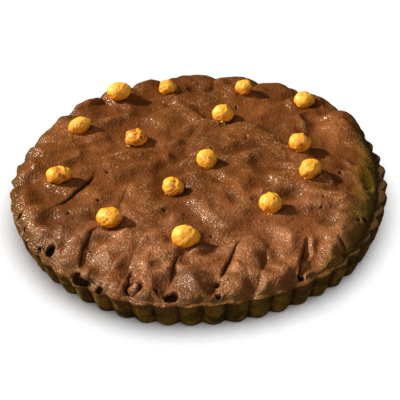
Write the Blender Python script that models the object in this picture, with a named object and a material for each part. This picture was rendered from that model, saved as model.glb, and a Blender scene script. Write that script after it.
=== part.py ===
"""Chocolate and hazelnut tart: a fluted pastry case, a thick folded chocolate filling that laps over its rim,
and fifteen whole roasted hazelnuts sunk a little into the chocolate.

Frame: +Z up, origin at the centre of the case's flat base, front of the tart towards -Y. Units are metres.
"""

import math

import bmesh
import bpy
import numpy as np
from mathutils import Euler, Vector
from mathutils.geometry import delaunay_2d_cdt

MM = 0.001

# Pastry case
FLUTES = 52
FLUTE_PHASE = math.radians(3.2)  # direction of one flute's outermost line
FLUTE_DEPTH = 3.0 * MM
FLUTE_SOFTNESS = 0.12  # rounds the valleys between flutes
CASE_STEPS = 6 * FLUTES  # corners round the case
RIM_RADIUS = 120.0 * MM  # to the flute tips, at the rim
BASE_RADIUS = 115.0 * MM  # to the flute tips, at the base
CASE_HEIGHT = 19.5 * MM
RIM_UNEVEN = 0.45 * MM  # how far the baked rim rises and dips
RIM_EDGE = 0.9 * MM  # worn outer edge of the rim
CASE_MOUTH_RADIUS = 112.5 * MM
CASE_FLOOR_RADIUS = 108.0 * MM
CASE_FLOOR = 4.0 * MM

# Where the case is out of round: direction and spread in degrees, how far it stands out in mm
OUT_OF_ROUND = ((151, 22, -2.4), (40, 18, 1.2), (252, 11, 1.6), (318, 12, 1.8))

# Chocolate filling
CONTACT_GAP = 0.3 * MM  # kept between pieces that touch
FOOT_STEPS = 4 * FLUTES  # corners round the filling's outline
FOOT_SETBACK = 1.0 * MM  # from the case's outer edge to the chocolate's edge
SIDE_SETBACK = 4.4 * MM  # extra setback where the rim stays bare
SIDE_DIRECTION = math.radians(347)  # middle of the stretch with the bare rim
SIDE_SPREAD = math.radians(36)
FULL_DIRECTION = math.radians(82)  # middle of the stretch where the chocolate bulges out over the rim
FULL_SPREAD = math.radians(66)
FOOT_THICKNESS = 0.9 * MM
FILM_WIDTH = 2.2 * MM  # of the thin chocolate along the edge
FULL_FILM_WIDTH = 1.0 * MM  # the same where the chocolate bulges out
DOME_HEIGHT = 6.6 * MM  # from the chocolate's edge up to its top
DOME_RUN = 15.0 * MM  # how far in from the edge the top levels out
LOBE_RETREAT = 2.6 * MM  # how far the edge draws in between two lobes
LOBE_DROP = 2.2 * MM  # how far the top drops between two lobes
LOBE_REACH = 15.0 * MM  # how far in from the edge the gaps between lobes run
GRID = 4.6 * MM  # spacing of the filling's mesh points
RIBBON_LEAN = math.radians(-17.5)  # the folds at the front lean this far from straight front to back
RIBBON_CROWN = 3.4 * MM  # how far a ribbon's middle stands over its edges at the front
RIBBON_START = 22 * MM  # how far in front of the centre the ribbons begin
RIBBON_GROWTH = 72 * MM  # from there to where they are fully grown
RIBBON_WANDER = 4 * MM  # how far a ribbon's edges stray
RIBBON_WANDER_CELL = 26 * MM
SWELL = 2.6 * MM  # broad waves of the poured chocolate
SWELL_CELL = 21 * MM
RIPPLE = 2.9 * MM  # short waves across them
RIPPLE_CELL = 12 * MM
RIPPLE_SQUEEZE = 1.5  # how much closer together they lie from front to back
WAVE_BEND = 8 * MM  # how far both are bent out of line
WAVE_BEND_CELLS = (40 * MM, 34 * MM)
WAVE_LIMIT = 2.6 * MM  # the most that broad and short waves together raise or lower the top
FOLD_EDGE = 1.0 * MM  # how softly a fold's bank drops into its groove
FOLD_GROOVE = 1.3 * MM  # half the groove's width
FOLD_BANK_REACH = 6 * MM  # how far out the bank levels off
FOLD_WANDER = 1.2 * MM  # how far a fold's line strays
FOLD_WANDER_CELL = 9 * MM
NUT_SINK = 2.4 * MM  # how deep a hazelnut sits in the chocolate

# Where one ribbon of chocolate meets the next at the front, in mm across them
RIBBON_EDGES = (-135, -112, -92, -71, -56, -43, -13, 13, 42, 64, 84, 108, 135)

# Directions of the gaps between the lobes at the chocolate's edge, in degrees from +X
LOBE_GAPS = (
    17, 36, 53, 68, 83, 102, 112, 125, 138, 149, 158, 167, 180, 194,
    206, 219, 230, 239, 248, 260, 274, 285, 299, 317, 334, 351,
)

# Folds where one ribbon of chocolate lies over the next: the line's points from the middle outwards, the height of
# the bank on its left as seen from the front, the depth of the groove and how far the hollow beyond it spreads
FOLDS = (
    (((-61, 15), (-69, -2), (-80, -19), (-91, -35)), 0.9, 1.8, 7),
    (((-40, 10), (-45, -10), (-50, -31)), 0.3, 0.9, 5),
    (((-61, -52), (-69, -64), (-73, -79), (-76, -93)), 0.8, 2.0, 8),
    (((-9, -74), (-13, -84), (-17, -97), (-18, -107)), 0.7, 1.8, 8),
    (((29, -50), (23, -66), (17, -83), (11, -97), (9, -107)), 1.3, 2.4, 8),
    (((62, -62), (61, -80), (58, -97), (58, -106)), 1.8, 3.0, 9),
    (((-40, -86), (-43, -96), (-43, -103)), 0.8, 1.8, 6),
    (((-93, -38), (-92, -48), (-90, -60)), 0.6, 1.6, 7),
    (((82, -66), (86, -74), (87, -80)), 0.9, 2.4, 6),
)

# Hollows and holes in the chocolate: centre, radius, depth
HOLLOWS = (
    (-90, -68, 2.4, 4.0),
    (-96, -64, 2.0, 3.0),
    (-72, -93, 3.2, 4.0),
    (-60, -99, 2.0, 3.0),
    (-18, -113, 2.7, 4.0),
    (8, -113, 1.6, 3.0),
    (58, -99, 2.0, 4.0),
    (86, -79, 2.0, 3.5),
    (101, -48, 1.8, 3.0),
    (39, -80, 6.0, 2.6),
    (36, -66, 5.5, 1.4),
    (42, -95, 5.5, 1.2),
    (-62, -87, 6.0, 2.2),
    (-92, -41, 5.5, 1.6),
    (-99, -24, 6.0, 1.3),
    (1, 68, 6.5, 1.3),
    (-7, 39, 6.5, 1.2),
)

# A round plug of chocolate in a ring-shaped hollow: centre, radius of the ring, depth
PLUG = (-42.5, -104, 4.6, 2.0)
PLUG_RING_WIDTH = 1.4 * MM

# Hazelnuts: centre x, y, length, width, height, heading of the length in degrees
NUTS = (
    (-52, 87, 17.0, 13.0, 12.2, 4),
    (-19, 96, 12.6, 12.2, 10.8, 0),
    (33, 89, 11.6, 11.4, 11.2, 60),
    (73, 76, 14.0, 12.8, 11.6, 10),
    (18, 60, 14.8, 12.6, 11.8, -20),
    (-77, 50, 16.2, 11.4, 10.8, 14),
    (-40, 37, 14.8, 12.8, 11.8, -6),
    (66, 20, 15.0, 13.0, 12.2, -12),
    (6, 8, 14.2, 13.2, 13.0, 70),
    (71, -8, 15.0, 12.8, 12.2, 35),
    (-88, -5, 16.6, 12.6, 12.0, 0),
    (-16, -17, 14.0, 13.0, 12.2, -10),
    (44, -38, 14.4, 13.6, 13.8, 80),
    (-55, -49, 17.0, 13.0, 12.4, -24),
    (-9, -70, 17.2, 14.2, 13.6, -4),
)
NUT_SEGMENTS = 12
NUT_RINGS = 8

# How far in from the chocolate's edge each ring of mesh points lies, and their spacing along it, in mm
EDGE_RINGS = ((1.2, 3.5), (3.0, 3.8), (5.6, 4.2), (9.0, 4.4), (13.0, 4.6))


def soft_noise(x, y, cell, seed):
    """Smooth noise from -1 to 1: a turned lattice of random heights, one each cell, blended between its corners."""
    size = 64
    lattice = np.random.default_rng(seed).uniform(-1, 1, (size, size))
    turn = 0.7 + 1.9 * seed
    u = (x * math.cos(turn) + y * math.sin(turn)) / cell + size / 2
    v = (y * math.cos(turn) - x * math.sin(turn)) / cell + size / 2
    i, j = np.floor(u).astype(int), np.floor(v).astype(int)
    a, b = u - i, v - j
    a, b = a * a * (3 - 2 * a), b * b * (3 - 2 * b)
    i, j = i % size, j % size
    k, l = (i + 1) % size, (j + 1) % size
    low = lattice[i, j] * (1 - a) + lattice[k, j] * a
    high = lattice[i, l] * (1 - a) + lattice[k, l] * a
    return low * (1 - b) + high * b


def flute_wave(angle):
    """1 on a flute's outermost line, 0 in the valley between two flutes."""
    swing = np.cos(FLUTES * (angle - FLUTE_PHASE) / 2)
    sharp = np.sqrt(swing**2 + FLUTE_SOFTNESS**2)
    return (sharp - FLUTE_SOFTNESS) / (math.sqrt(1 + FLUTE_SOFTNESS**2) - FLUTE_SOFTNESS)


def rim_height(angle):
    """The baked rim rises and dips in slow waves round the case."""
    waves = np.sin(3 * angle + 0.6) + 0.6 * np.sin(5 * angle + 2.1) + 0.4 * np.sin(8 * angle)
    return CASE_HEIGHT + RIM_UNEVEN * waves / 2


def out_of_round(angle):
    """How far the baked case stands out from a true circle."""
    total = 0
    for direction, spread, out in OUT_OF_ROUND:
        off = np.angle(np.exp(1j * (angle - math.radians(direction))))
        total = total + out * MM * np.exp(-((off / math.radians(spread)) ** 2))
    return total


def case_radius(angle, tip_radius):
    return tip_radius + out_of_round(angle) - FLUTE_DEPTH * (1 - flute_wave(angle))


def lobe_wave(angle):
    """0 in the gap between two lobes of chocolate, 1 over the middle of a lobe."""
    gaps = np.radians(np.array(LOBE_GAPS, float))
    turn = np.mod(angle - gaps[0], 2 * math.pi)
    starts = gaps - gaps[0]
    ends = np.append(starts[1:], 2 * math.pi)
    lobe = np.searchsorted(starts, turn, side="right") - 1
    along = (turn - starts[lobe]) / (ends[lobe] - starts[lobe])
    return np.sin(math.pi * np.clip(along, 0, 1)) ** 0.55


def rim_bareness(angle):
    """1 in the middle of the side where the rim shows, 0 well away from it."""
    off = np.angle(np.exp(1j * (angle - SIDE_DIRECTION)))
    return np.exp(-((off / SIDE_SPREAD) ** 2))


def rim_fullness(angle):
    """1 where the chocolate bulges out over the rim and hides it, 0 well away from there."""
    off = np.angle(np.exp(1j * (angle - FULL_DIRECTION)))
    return np.exp(-((off / FULL_SPREAD) ** 6))


def lobe_radius(angle):
    """The lobed outline of the poured chocolate, before it settles into the flutes."""
    bare, full = rim_bareness(angle), rim_fullness(angle)
    retreat = LOBE_RETREAT * (1 - lobe_wave(angle)) * (1 - 0.5 * bare)
    setback = (FLUTE_DEPTH / 2 + FOOT_SETBACK) * (1 - full) + SIDE_SETBACK * bare
    return RIM_RADIUS + out_of_round(angle) - setback - retreat


def foot_radius(angle):
    """The chocolate's edge on the rim: its lobed outline, drawn in over each valley between flutes."""
    bare, full = rim_bareness(angle), rim_fullness(angle)
    settled = FLUTE_DEPTH * (flute_wave(angle) - 0.5) * (1 - 0.8 * bare)
    outer = lobe_radius(angle) + (1 - full) * (settled + 0.5 * LOBE_RETREAT * (1 - lobe_wave(angle)))
    return np.maximum(outer, CASE_MOUTH_RADIUS + out_of_round(angle) + 0.4 * MM)


def ribbon_relief(x, y):
    """The rounded backs of the ribbons into which the chocolate folded, growing from the middle to the front."""
    across = x * math.cos(RIBBON_LEAN) + y * math.sin(RIBBON_LEAN)
    across = across + RIBBON_WANDER * soft_noise(x, y, RIBBON_WANDER_CELL, 5)
    edges = np.array(RIBBON_EDGES, float) * MM
    ribbon = np.clip(np.searchsorted(edges, across) - 1, 0, len(edges) - 2)
    along = np.clip((across - edges[ribbon]) / (edges[ribbon + 1] - edges[ribbon]), 0, 1)
    crown = np.sin(math.pi * along) ** 0.8 - 0.65
    share = np.clip((-RIBBON_START - y) / RIBBON_GROWTH, 0, 1)
    return RIBBON_CROWN * share * share * (3 - 2 * share) * crown


def fold_relief(x, y):
    """Height that the folds add or take away, from the signed distance to each fold's line."""
    bent_x = x + FOLD_WANDER * soft_noise(x, y, FOLD_WANDER_CELL, 6)
    bent_y = y + FOLD_WANDER * soft_noise(x, y, FOLD_WANDER_CELL, 7)
    total = np.zeros_like(x)
    for line, bank, groove, spread in FOLDS:
        points = np.array(line, float) * MM
        nearest = np.full_like(x, 1.0)
        signed = np.full_like(x, 1.0)
        along = np.zeros_like(x)
        for n in range(len(points) - 1):
            start, step = points[n], points[n + 1] - points[n]
            t = np.clip(((bent_x - start[0]) * step[0] + (bent_y - start[1]) * step[1]) / (step @ step), 0, 1)
            dx, dy = bent_x - start[0] - t * step[0], bent_y - start[1] - t * step[1]
            distance = np.hypot(dx, dy)
            closer = distance < nearest
            nearest = np.where(closer, distance, nearest)
            signed = np.where(closer, np.copysign(distance, step[0] * dy - step[1] * dx), signed)
            along = np.where(closer, (n + t) / (len(points) - 1), along)
        fade = np.clip(np.minimum(along / 0.3, (1.12 - along) / 0.25), 0, 1)
        beyond = (1 + np.tanh(signed / FOLD_EDGE)) / 2
        left = bank * MM * np.exp(-nearest / FOLD_BANK_REACH) * (1 - beyond)
        right = -0.5 * groove * MM * np.exp(-nearest / (spread * MM)) * beyond
        cut = -groove * MM * np.exp(-((nearest / FOLD_GROOVE) ** 2))
        total += fade * (left + right + cut)
    return total


def hollow_relief(x, y):
    total = np.zeros_like(x)
    for px, py, radius, depth in HOLLOWS:
        distance = np.hypot(x - px * MM, y - py * MM)
        total -= depth * MM * np.exp(-((distance / (radius * MM)) ** 3))
    px, py, radius, depth = PLUG
    distance = np.hypot(x - px * MM, y - py * MM)
    return total - depth * MM * np.exp(-(((distance - radius * MM) / PLUG_RING_WIDTH) ** 2))


def chocolate_top(x, y):
    """Height of the chocolate's upper skin over the point x, y."""
    radius, angle = np.hypot(x, y), np.arctan2(y, x)
    bare, full = rim_bareness(angle), rim_fullness(angle)
    inset = np.clip(lobe_radius(angle) - radius, 0, None)
    film_width = FILM_WIDTH + (FULL_FILM_WIDTH - FILM_WIDTH) * full
    film = np.clip((foot_radius(angle) - radius) / film_width, 0, 1)
    shoulder = (1 - (1 - np.clip(inset / DOME_RUN, 0, 1)) ** 2.3) ** (0.5 + 0.25 * bare - 0.1 * full)
    rise = shoulder * np.sqrt(film * (2 - film))
    gap = (1 - lobe_wave(angle)) * np.exp(-((inset / LOBE_REACH) ** 2))
    bent_x = x + WAVE_BEND * soft_noise(x, y, WAVE_BEND_CELLS[0], 1)
    bent_y = y + WAVE_BEND * soft_noise(x, y, WAVE_BEND_CELLS[1], 2)
    swell = SWELL * soft_noise(bent_x, bent_y, SWELL_CELL, 3)
    ripple = RIPPLE * soft_noise(bent_x, RIPPLE_SQUEEZE * bent_y, RIPPLE_CELL, 4)
    waves = WAVE_LIMIT * np.tanh((swell + ripple) / WAVE_LIMIT) * np.clip(inset / (10 * MM), 0, 1)
    level = waves + np.clip(inset / (5 * MM), 0, 1) * (ribbon_relief(x, y) + fold_relief(x, y))
    settled = np.clip(radius / RIM_RADIUS, 0, 1) ** 6
    base = CASE_HEIGHT + (rim_height(angle) - CASE_HEIGHT) * settled + CONTACT_GAP + FOOT_THICKNESS
    top = base + (DOME_HEIGHT - LOBE_DROP * gap) * rise + level + film * hollow_relief(x, y)
    return np.maximum(top, base - 0.5 * FOOT_THICKNESS)


def make_material(name, colour, roughness, coat=0.0):
    material = bpy.data.materials.new(name)
    material.use_nodes = True
    shader = material.node_tree.nodes["Principled BSDF"]
    shader.inputs["Base Color"].default_value = (*colour, 1)
    shader.inputs["Roughness"].default_value = roughness
    shader.inputs["Metallic"].default_value = 0.0
    shader.inputs["Coat Weight"].default_value = coat
    return material


def make_object(name, bm, material, parent=None, smooth_angle=40):
    mesh = bpy.data.meshes.new(name)
    bm.to_mesh(mesh)
    bm.free()
    mesh.shade_smooth()
    mesh.set_sharp_from_angle(angle=math.radians(smooth_angle))
    mesh.materials.append(material)
    part = bpy.data.objects.new(name, mesh)
    part.parent = parent
    bpy.context.scene.collection.objects.link(part)
    return part


def add_ring(bm, angles, radii, heights):
    """A closed ring of vertices, one for each angle."""
    x, y = radii * np.cos(angles), radii * np.sin(angles)
    z = np.broadcast_to(heights, angles.shape)
    return [bm.verts.new(point) for point in zip(x, y, z)]


def join_rings(bm, first, second):
    """Side faces between two rings of the same length, facing out where first is below or inside second."""
    for n in range(len(first)):
        m = (n + 1) % len(first)
        bm.faces.new((first[n], first[m], second[m], second[n]))


def make_case(material, parent):
    """The pastry case: a fluted, flared wall with a worn rim, round a plain hollow for the filling."""
    angles = FLUTE_PHASE + np.arange(CASE_STEPS) * 2 * math.pi / CASE_STEPS
    rim = rim_height(angles)
    outer = case_radius(angles, RIM_RADIUS)
    bm = bmesh.new()
    rings = [
        add_ring(bm, angles, case_radius(angles, BASE_RADIUS), 0.0),
        add_ring(bm, angles, outer, rim - RIM_EDGE),
        add_ring(bm, angles, outer - RIM_EDGE, rim),
        add_ring(bm, angles, CASE_MOUTH_RADIUS + out_of_round(angles), rim),
        add_ring(bm, angles, CASE_FLOOR_RADIUS + out_of_round(angles), CASE_FLOOR),
    ]
    for lower, upper in zip(rings, rings[1:]):
        join_rings(bm, lower, upper)
    bm.faces.new(reversed(rings[0]))
    bm.faces.new(rings[-1])
    return make_object("pastry_case", bm, material, parent)


def keep_apart(points, chosen, spacing):
    """Those of points that lie at least spacing from every chosen point."""
    chosen = np.array(chosen)
    return [p for p in points if np.min(np.hypot(*(chosen - p).T)) >= spacing]


def fold_points():
    """Points on each fold's line and on both its banks, so that the mesh follows the fold."""
    found = []
    for line, _, _, _ in FOLDS:
        points = np.array(line, float) * MM
        for start, end in zip(points, points[1:]):
            step = end - start
            length = np.hypot(*step)
            across = np.array((-step[1], step[0])) / length
            for t in np.arange(0, length, 3.6 * MM) / length:
                middle = start + t * step
                found += [middle, middle + 2.0 * MM * across, middle - 2.0 * MM * across]
    return found


def hollow_points():
    """The middle of each hollow and two rings of six points round it."""
    found = []
    turns = np.arange(6) * math.pi / 3
    for px, py, radius, _ in HOLLOWS + (PLUG,):
        centre = np.array((px, py)) * MM
        found.append(centre)
        for share, shift in ((0.7, 0), (1.4, math.pi / 6)):
            ring = share * radius * MM * np.c_[np.cos(turns + shift), np.sin(turns + shift)]
            found += list(centre + ring)
    return found


def edge_points():
    """Rings of points that follow the rounded edge of the chocolate."""
    found = []
    for inset, spacing in EDGE_RINGS:
        count = round(2 * math.pi * (RIM_RADIUS / MM - inset) / spacing)
        angles = np.arange(count) * 2 * math.pi / count
        radii = foot_radius(angles) - inset * MM
        found += list(np.c_[radii * np.cos(angles), radii * np.sin(angles)])
    return found


def grid_points():
    """A triangular grid over the middle of the top."""
    found = []
    reach = RIM_RADIUS - 21 * MM
    row_step = GRID * math.sqrt(3) / 2
    for row in range(-math.ceil(reach / row_step), math.ceil(reach / row_step) + 1):
        for column in range(-math.ceil(reach / GRID), math.ceil(reach / GRID) + 1):
            point = np.array(((column + 0.5 * (row % 2)) * GRID, row * row_step))
            if np.hypot(*point) < reach:
                found.append(point)
    return found


def top_points(outline):
    """Where the chocolate's skin has its vertices: its outline, its features, then what fills the rest."""
    chosen = list(outline)
    features = fold_points() + hollow_points()
    inside = [p for p in features if np.hypot(*p) < foot_radius(np.arctan2(p[1], p[0])) - 1.2 * MM]
    for group, spacing in ((inside, 1.5 * MM), (edge_points(), 2.0 * MM), (grid_points(), 2.6 * MM)):
        for point in group:
            if keep_apart([point], chosen, spacing):
                chosen.append(point)
    return chosen


def make_filling(material, parent):
    """The chocolate: its folded top skin, the edge that laps over the rim, and the body inside the case."""
    angles = FLUTE_PHASE + np.arange(FOOT_STEPS) * 2 * math.pi / FOOT_STEPS
    foot = foot_radius(angles)
    rim = rim_height(angles) + CONTACT_GAP
    outline = np.c_[foot * np.cos(angles), foot * np.sin(angles)]
    flat = [Vector(p) for p in top_points(outline)]
    edges = [(n, (n + 1) % FOOT_STEPS) for n in range(FOOT_STEPS)]
    points, _, faces, sources, _, _ = delaunay_2d_cdt(flat, edges, [], 1, 1e-6)
    xy = np.array([tuple(p) for p in points])
    heights = chocolate_top(xy[:, 0], xy[:, 1])
    bm = bmesh.new()
    skin = [bm.verts.new((*p, z)) for p, z in zip(xy, heights)]
    for face in faces:
        bm.faces.new([skin[n] for n in face])
    number = {source: n for n, found in enumerate(sources) for source in found}
    edge = [skin[number[n]] for n in range(FOOT_STEPS)]
    for vert, z in zip(edge, rim + FOOT_THICKNESS):
        vert.co.z = z
    mouth = CASE_MOUTH_RADIUS + out_of_round(angles) - CONTACT_GAP
    floor = CASE_FLOOR_RADIUS + out_of_round(angles) - CONTACT_GAP
    rings = [
        add_ring(bm, angles, floor, CASE_FLOOR + CONTACT_GAP),
        add_ring(bm, angles, mouth, rim),
        add_ring(bm, angles, foot, rim),
        edge,
    ]
    for lower, upper in zip(rings, rings[1:]):
        join_rings(bm, lower, upper)
    bm.faces.new(reversed(rings[0]))
    return make_object("chocolate_filling", bm, material, parent)


def nut_mesh(length, width, height, seed):
    """A hazelnut on its side: a broad rounded base at -X, a blunt tip at +X and a slightly uneven girth."""
    uneven = np.random.default_rng(seed).uniform(-1, 1, 4)
    bm = bmesh.new()
    turns = np.arange(NUT_SEGMENTS) * 2 * math.pi / NUT_SEGMENTS
    rings = []
    for n in range(1, NUT_RINGS):
        lean = math.pi * n / NUT_RINGS
        along = -math.cos(lean)
        girth = math.sin(lean) ** 0.9 * (1 - 0.10 * along - 0.06 * along**2)
        bumps = 1 + 0.035 * uneven[0] * np.sin(2 * turns + uneven[1]) + 0.03 * uneven[2] * np.sin(3 * turns)
        x = np.full_like(turns, length / 2 * (along + 0.05 * uneven[3] * (1 - along**2)))
        y = width / 2 * girth * bumps * np.cos(turns)
        z = height / 2 * girth * bumps * np.sin(turns)
        rings.append([bm.verts.new(point) for point in zip(x, y, z)])
    base = bm.verts.new((-length / 2 * 0.96, 0, 0))
    tip = bm.verts.new((length / 2 * 1.03, 0, 0))
    for lower, upper in zip(rings, rings[1:]):
        join_rings(bm, lower, upper)
    for n in range(NUT_SEGMENTS):
        m = (n + 1) % NUT_SEGMENTS
        bm.faces.new((base, rings[0][m], rings[0][n]))
        bm.faces.new((tip, rings[-1][n], rings[-1][m]))
    bmesh.ops.recalc_face_normals(bm, faces=bm.faces)
    return bm


def place_nut(nut, x, y, height, heading, seed):
    """Sets a nut into the chocolate at x, y, leaning a little with the surface."""
    lean = np.random.default_rng(100 + seed).uniform(-9, 9, 2)
    top = float(chocolate_top(np.array([x]), np.array([y]))[0])
    nut.location = (x, y, top - NUT_SINK + height / 2)
    nut.rotation_euler = Euler([math.radians(a) for a in (lean[0], lean[1], heading)])


def make_nuts(material, parent, cutters, cutter_material):
    """Every hazelnut, and for each a slightly larger hidden copy that cuts its seat into the chocolate."""
    for n, (x, y, length, width, height, heading) in enumerate(NUTS, 1):
        sizes = np.array((length, width, height)) * MM
        nut = make_object(f"hazelnut_{n:02d}", nut_mesh(*sizes, n), material, parent, 70)
        place_nut(nut, x * MM, y * MM, sizes[2], heading, n)
        grown = sizes + 2 * CONTACT_GAP
        cutter = make_object(f"nut_seat_{n:02d}", nut_mesh(*grown, n), cutter_material, parent, 70)
        cutter.location, cutter.rotation_euler = nut.location, nut.rotation_euler
        cutter.hide_render = True
        cutter.display_type = "WIRE"
        bpy.context.scene.collection.objects.unlink(cutter)
        cutters.objects.link(cutter)


def main():
    for thing in list(bpy.data.objects):
        bpy.data.objects.remove(thing)
    pastry = make_material("cocoa_pastry", (0.075, 0.038, 0.014), 0.7)
    chocolate = make_material("chocolate", (0.165, 0.066, 0.026), 0.42, 0.15)
    roasted = make_material("roasted_hazelnut", (0.72, 0.36, 0.06), 0.5)
    tart = bpy.data.objects.new("tart", None)
    bpy.context.scene.collection.objects.link(tart)
    cutters = bpy.data.collections.new("nut_seats")
    bpy.context.scene.collection.children.link(cutters)
    make_case(pastry, tart)
    filling = make_filling(chocolate, tart)
    make_nuts(roasted, tart, cutters, chocolate)
    seats = filling.modifiers.new("nut seats", "BOOLEAN")
    seats.operation = "DIFFERENCE"
    seats.solver = "EXACT"
    seats.operand_type = "COLLECTION"
    seats.collection = cutters


main()
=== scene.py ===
import math

import bpy
import numpy as np
from bpy.props import FloatProperty, FloatVectorProperty, PointerProperty
from bpy.types import Operator, Panel, PropertyGroup
from mathutils import Euler, Matrix, Vector


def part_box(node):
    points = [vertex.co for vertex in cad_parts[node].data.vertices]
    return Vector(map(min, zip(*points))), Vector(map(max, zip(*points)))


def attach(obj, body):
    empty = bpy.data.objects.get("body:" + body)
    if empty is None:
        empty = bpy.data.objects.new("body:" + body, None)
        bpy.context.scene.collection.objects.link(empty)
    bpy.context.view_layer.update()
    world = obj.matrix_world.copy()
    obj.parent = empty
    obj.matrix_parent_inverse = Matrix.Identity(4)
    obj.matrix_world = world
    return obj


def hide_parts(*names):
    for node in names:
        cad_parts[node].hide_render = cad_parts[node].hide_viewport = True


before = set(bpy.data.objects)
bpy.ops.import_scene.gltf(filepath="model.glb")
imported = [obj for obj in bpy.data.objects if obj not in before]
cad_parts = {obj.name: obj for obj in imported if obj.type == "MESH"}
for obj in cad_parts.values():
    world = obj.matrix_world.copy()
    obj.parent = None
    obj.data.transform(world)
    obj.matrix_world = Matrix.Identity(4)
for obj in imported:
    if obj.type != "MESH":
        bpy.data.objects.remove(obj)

bl_info = {
    "name": "Chocolate and Hazelnut Tart",
    "version": (1, 0, 0),
    "blender": (4, 5, 0),
    "location": "View3D > Sidebar > Tart",
    "description": "Bakes a fluted case, pours a folded chocolate filling and sets hazelnuts into it",
    "category": "Add Mesh",
}

MM = 0.001
CASE_LOW, CASE_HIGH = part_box("pastry_case")

# Pastry case
FLUTES = 52
FLUTE_PHASE = math.radians(3.2)  # direction of one flute's outermost line
FLUTE_DEPTH = 3.0 * MM
FLUTE_SOFTNESS = 0.12  # rounds the valleys between flutes
RIM_RADIUS = round((CASE_HIGH.y - CASE_LOW.y) / 2, 3)  # to the flute tips, at the rim
BASE_RADIUS = RIM_RADIUS - 5.0 * MM
CASE_HEIGHT = 19.5 * MM
RIM_UNEVEN = 0.45 * MM
WALL_BELLY = 0.18  # how far the wall curves out half-way up, as a share of its flare
FOOT_ROUNDING = 1.1 * MM
RIM_ROUNDING = 1.3 * MM
CASE_MOUTH_RADIUS = 112.5 * MM
CASE_FLOOR_RADIUS = 108.0 * MM
CASE_FLOOR = 4.0 * MM

# Where the case is out of round: direction and spread in degrees, how far it stands out in mm
OUT_OF_ROUND = ((151, 22, -2.4), (40, 18, 1.2), (252, 11, 1.6), (318, 12, 1.8))

# Noise that roughens the baked wall: cell, seed, share of the dough's grain
DOUGH_NOISE = ((7.0 * MM, 21, 0.9), (2.4 * MM, 22, 0.7))
DOUGH_STREAKS = (4.0 * MM, 23, 0.6)
DOUGH_CRUST = (3.2 * MM, 24, 1.3)
STREAK_LENGTH = 4  # how much longer than wide a streak is, up the wall
CRUST_LIFT = 1.2  # how much rougher than the wall the rim is

# Chocolate filling
CONTACT_GAP = 0.3 * MM
FOOT_SETBACK = 1.0 * MM  # from the case's outer edge to the chocolate's edge
SIDE_SETBACK = 4.4 * MM  # extra setback where the rim stays bare
SIDE_DIRECTION = math.radians(347)
SIDE_SPREAD = math.radians(36)
FULL_DIRECTION = math.radians(82)  # middle of the stretch where the chocolate bulges out over the rim
FULL_SPREAD = math.radians(66)
FOOT_THICKNESS = 0.9 * MM
FILM_WIDTH = 1.5 * MM
FULL_FILM_WIDTH = 1.0 * MM
DOME_RUN = 15.0 * MM  # how far in from the edge the top levels out
DOME_FALL = 2.3  # power of the dome's fall towards its edge
DOME_ROUNDING = 0.5  # power that rounds the dome's shoulder
BARE_ROUNDING = 0.25  # added to that power where the rim is bare
FULL_ROUNDING = -0.1  # added to it where the chocolate bulges out
LOBE_RETREAT = 2.6 * MM
LOBE_REACH = 15.0 * MM
LOBE_ROUNDING = 0.7  # power that rounds a lobe's outline
FULL_GAPS = 0.45  # how much deeper the gaps between lobes are where the chocolate bulges out
EDGE_ROUNDING = 1.6 * MM
EDGE_THINNING = 0.65  # share of the foot's thickness lost at the very edge
CRUMBLE_REACH = 4.5 * MM  # how far in from the edge the chocolate crumbles

# Noise that crumbles the chocolate's edge: cell, seed, height
CRUMBLE_NOISE = ((6.5 * MM, 18, 1.0 * MM), (2.9 * MM, 19, 0.5 * MM))

# Waves, ribbons and pillows of the chocolate's skin
RIBBON_LEAN = math.radians(-17.5)
RIBBON_START = 50 * MM
RIBBON_GROWTH = 44 * MM
RIBBON_WANDER = 3 * MM
RIBBON_WANDER_CELL = 26 * MM
SWELL_CELL = 21 * MM
RIPPLE_CELL = 12 * MM
RIPPLE_SQUEEZE = 1.5
WAVE_BEND = 8 * MM
WAVE_BEND_CELLS = (40 * MM, 34 * MM)
WAVE_LIMIT = 2.6 * MM
WAVE_FADE = 10 * MM  # how far in from the edge the waves reach their full height
RELIEF_FADE = 5 * MM  # the same for ribbons, folds and pillows
PILLOW_CELL = 12.5 * MM
PILLOW_LEVEL = 0.3  # sinks the pillows so that they stand about as high as deep
PILLOW_LEAST = 0.6  # share of the pillows' height in the middle of the tart
PILLOW_START = 60 * MM
PILLOW_GROWTH = 30 * MM
LUMP_SQUEEZE = 1.2
LUMP_CELLS = (6.5 * MM, 2.9 * MM)
FINE_LUMPS = 0.3  # share of the smaller lumps
EDGE_LUMPS = 1.4  # height of the lumps at the very edge, as a share of their height elsewhere
FOLD_EDGE = 0.7 * MM
FOLD_GROOVE = 0.8 * MM
FOLD_BANK_REACH = 6 * MM
FOLD_WANDER = 0.4 * MM
FOLD_WANDER_CELL = 13 * MM

# Where one ribbon of chocolate meets the next at the front, in mm across them
RIBBON_EDGES = (-135, -112, -92, -71, -60, -45, -13, 13, 42, 64, 84, 108, 135)

# Directions of the gaps between the lobes at the chocolate's edge, in degrees from +X
LOBE_GAPS = (
    17, 36, 53, 68, 83, 102, 112, 125, 138, 149, 158, 167, 180, 194,
    206, 219, 230, 239, 248, 260, 274, 285, 299, 317, 334, 351,
)

# Lobes that bulge up and outwards at the back right: direction and spread in degrees, height in mm
BULGES = ((30, 7.5, 3.6), (45, 4.5, 1.0))
BULGE_REACH = 11 * MM
BULGE_OUT = 0.6  # how far a bulge stands out, as a share of its height

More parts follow.
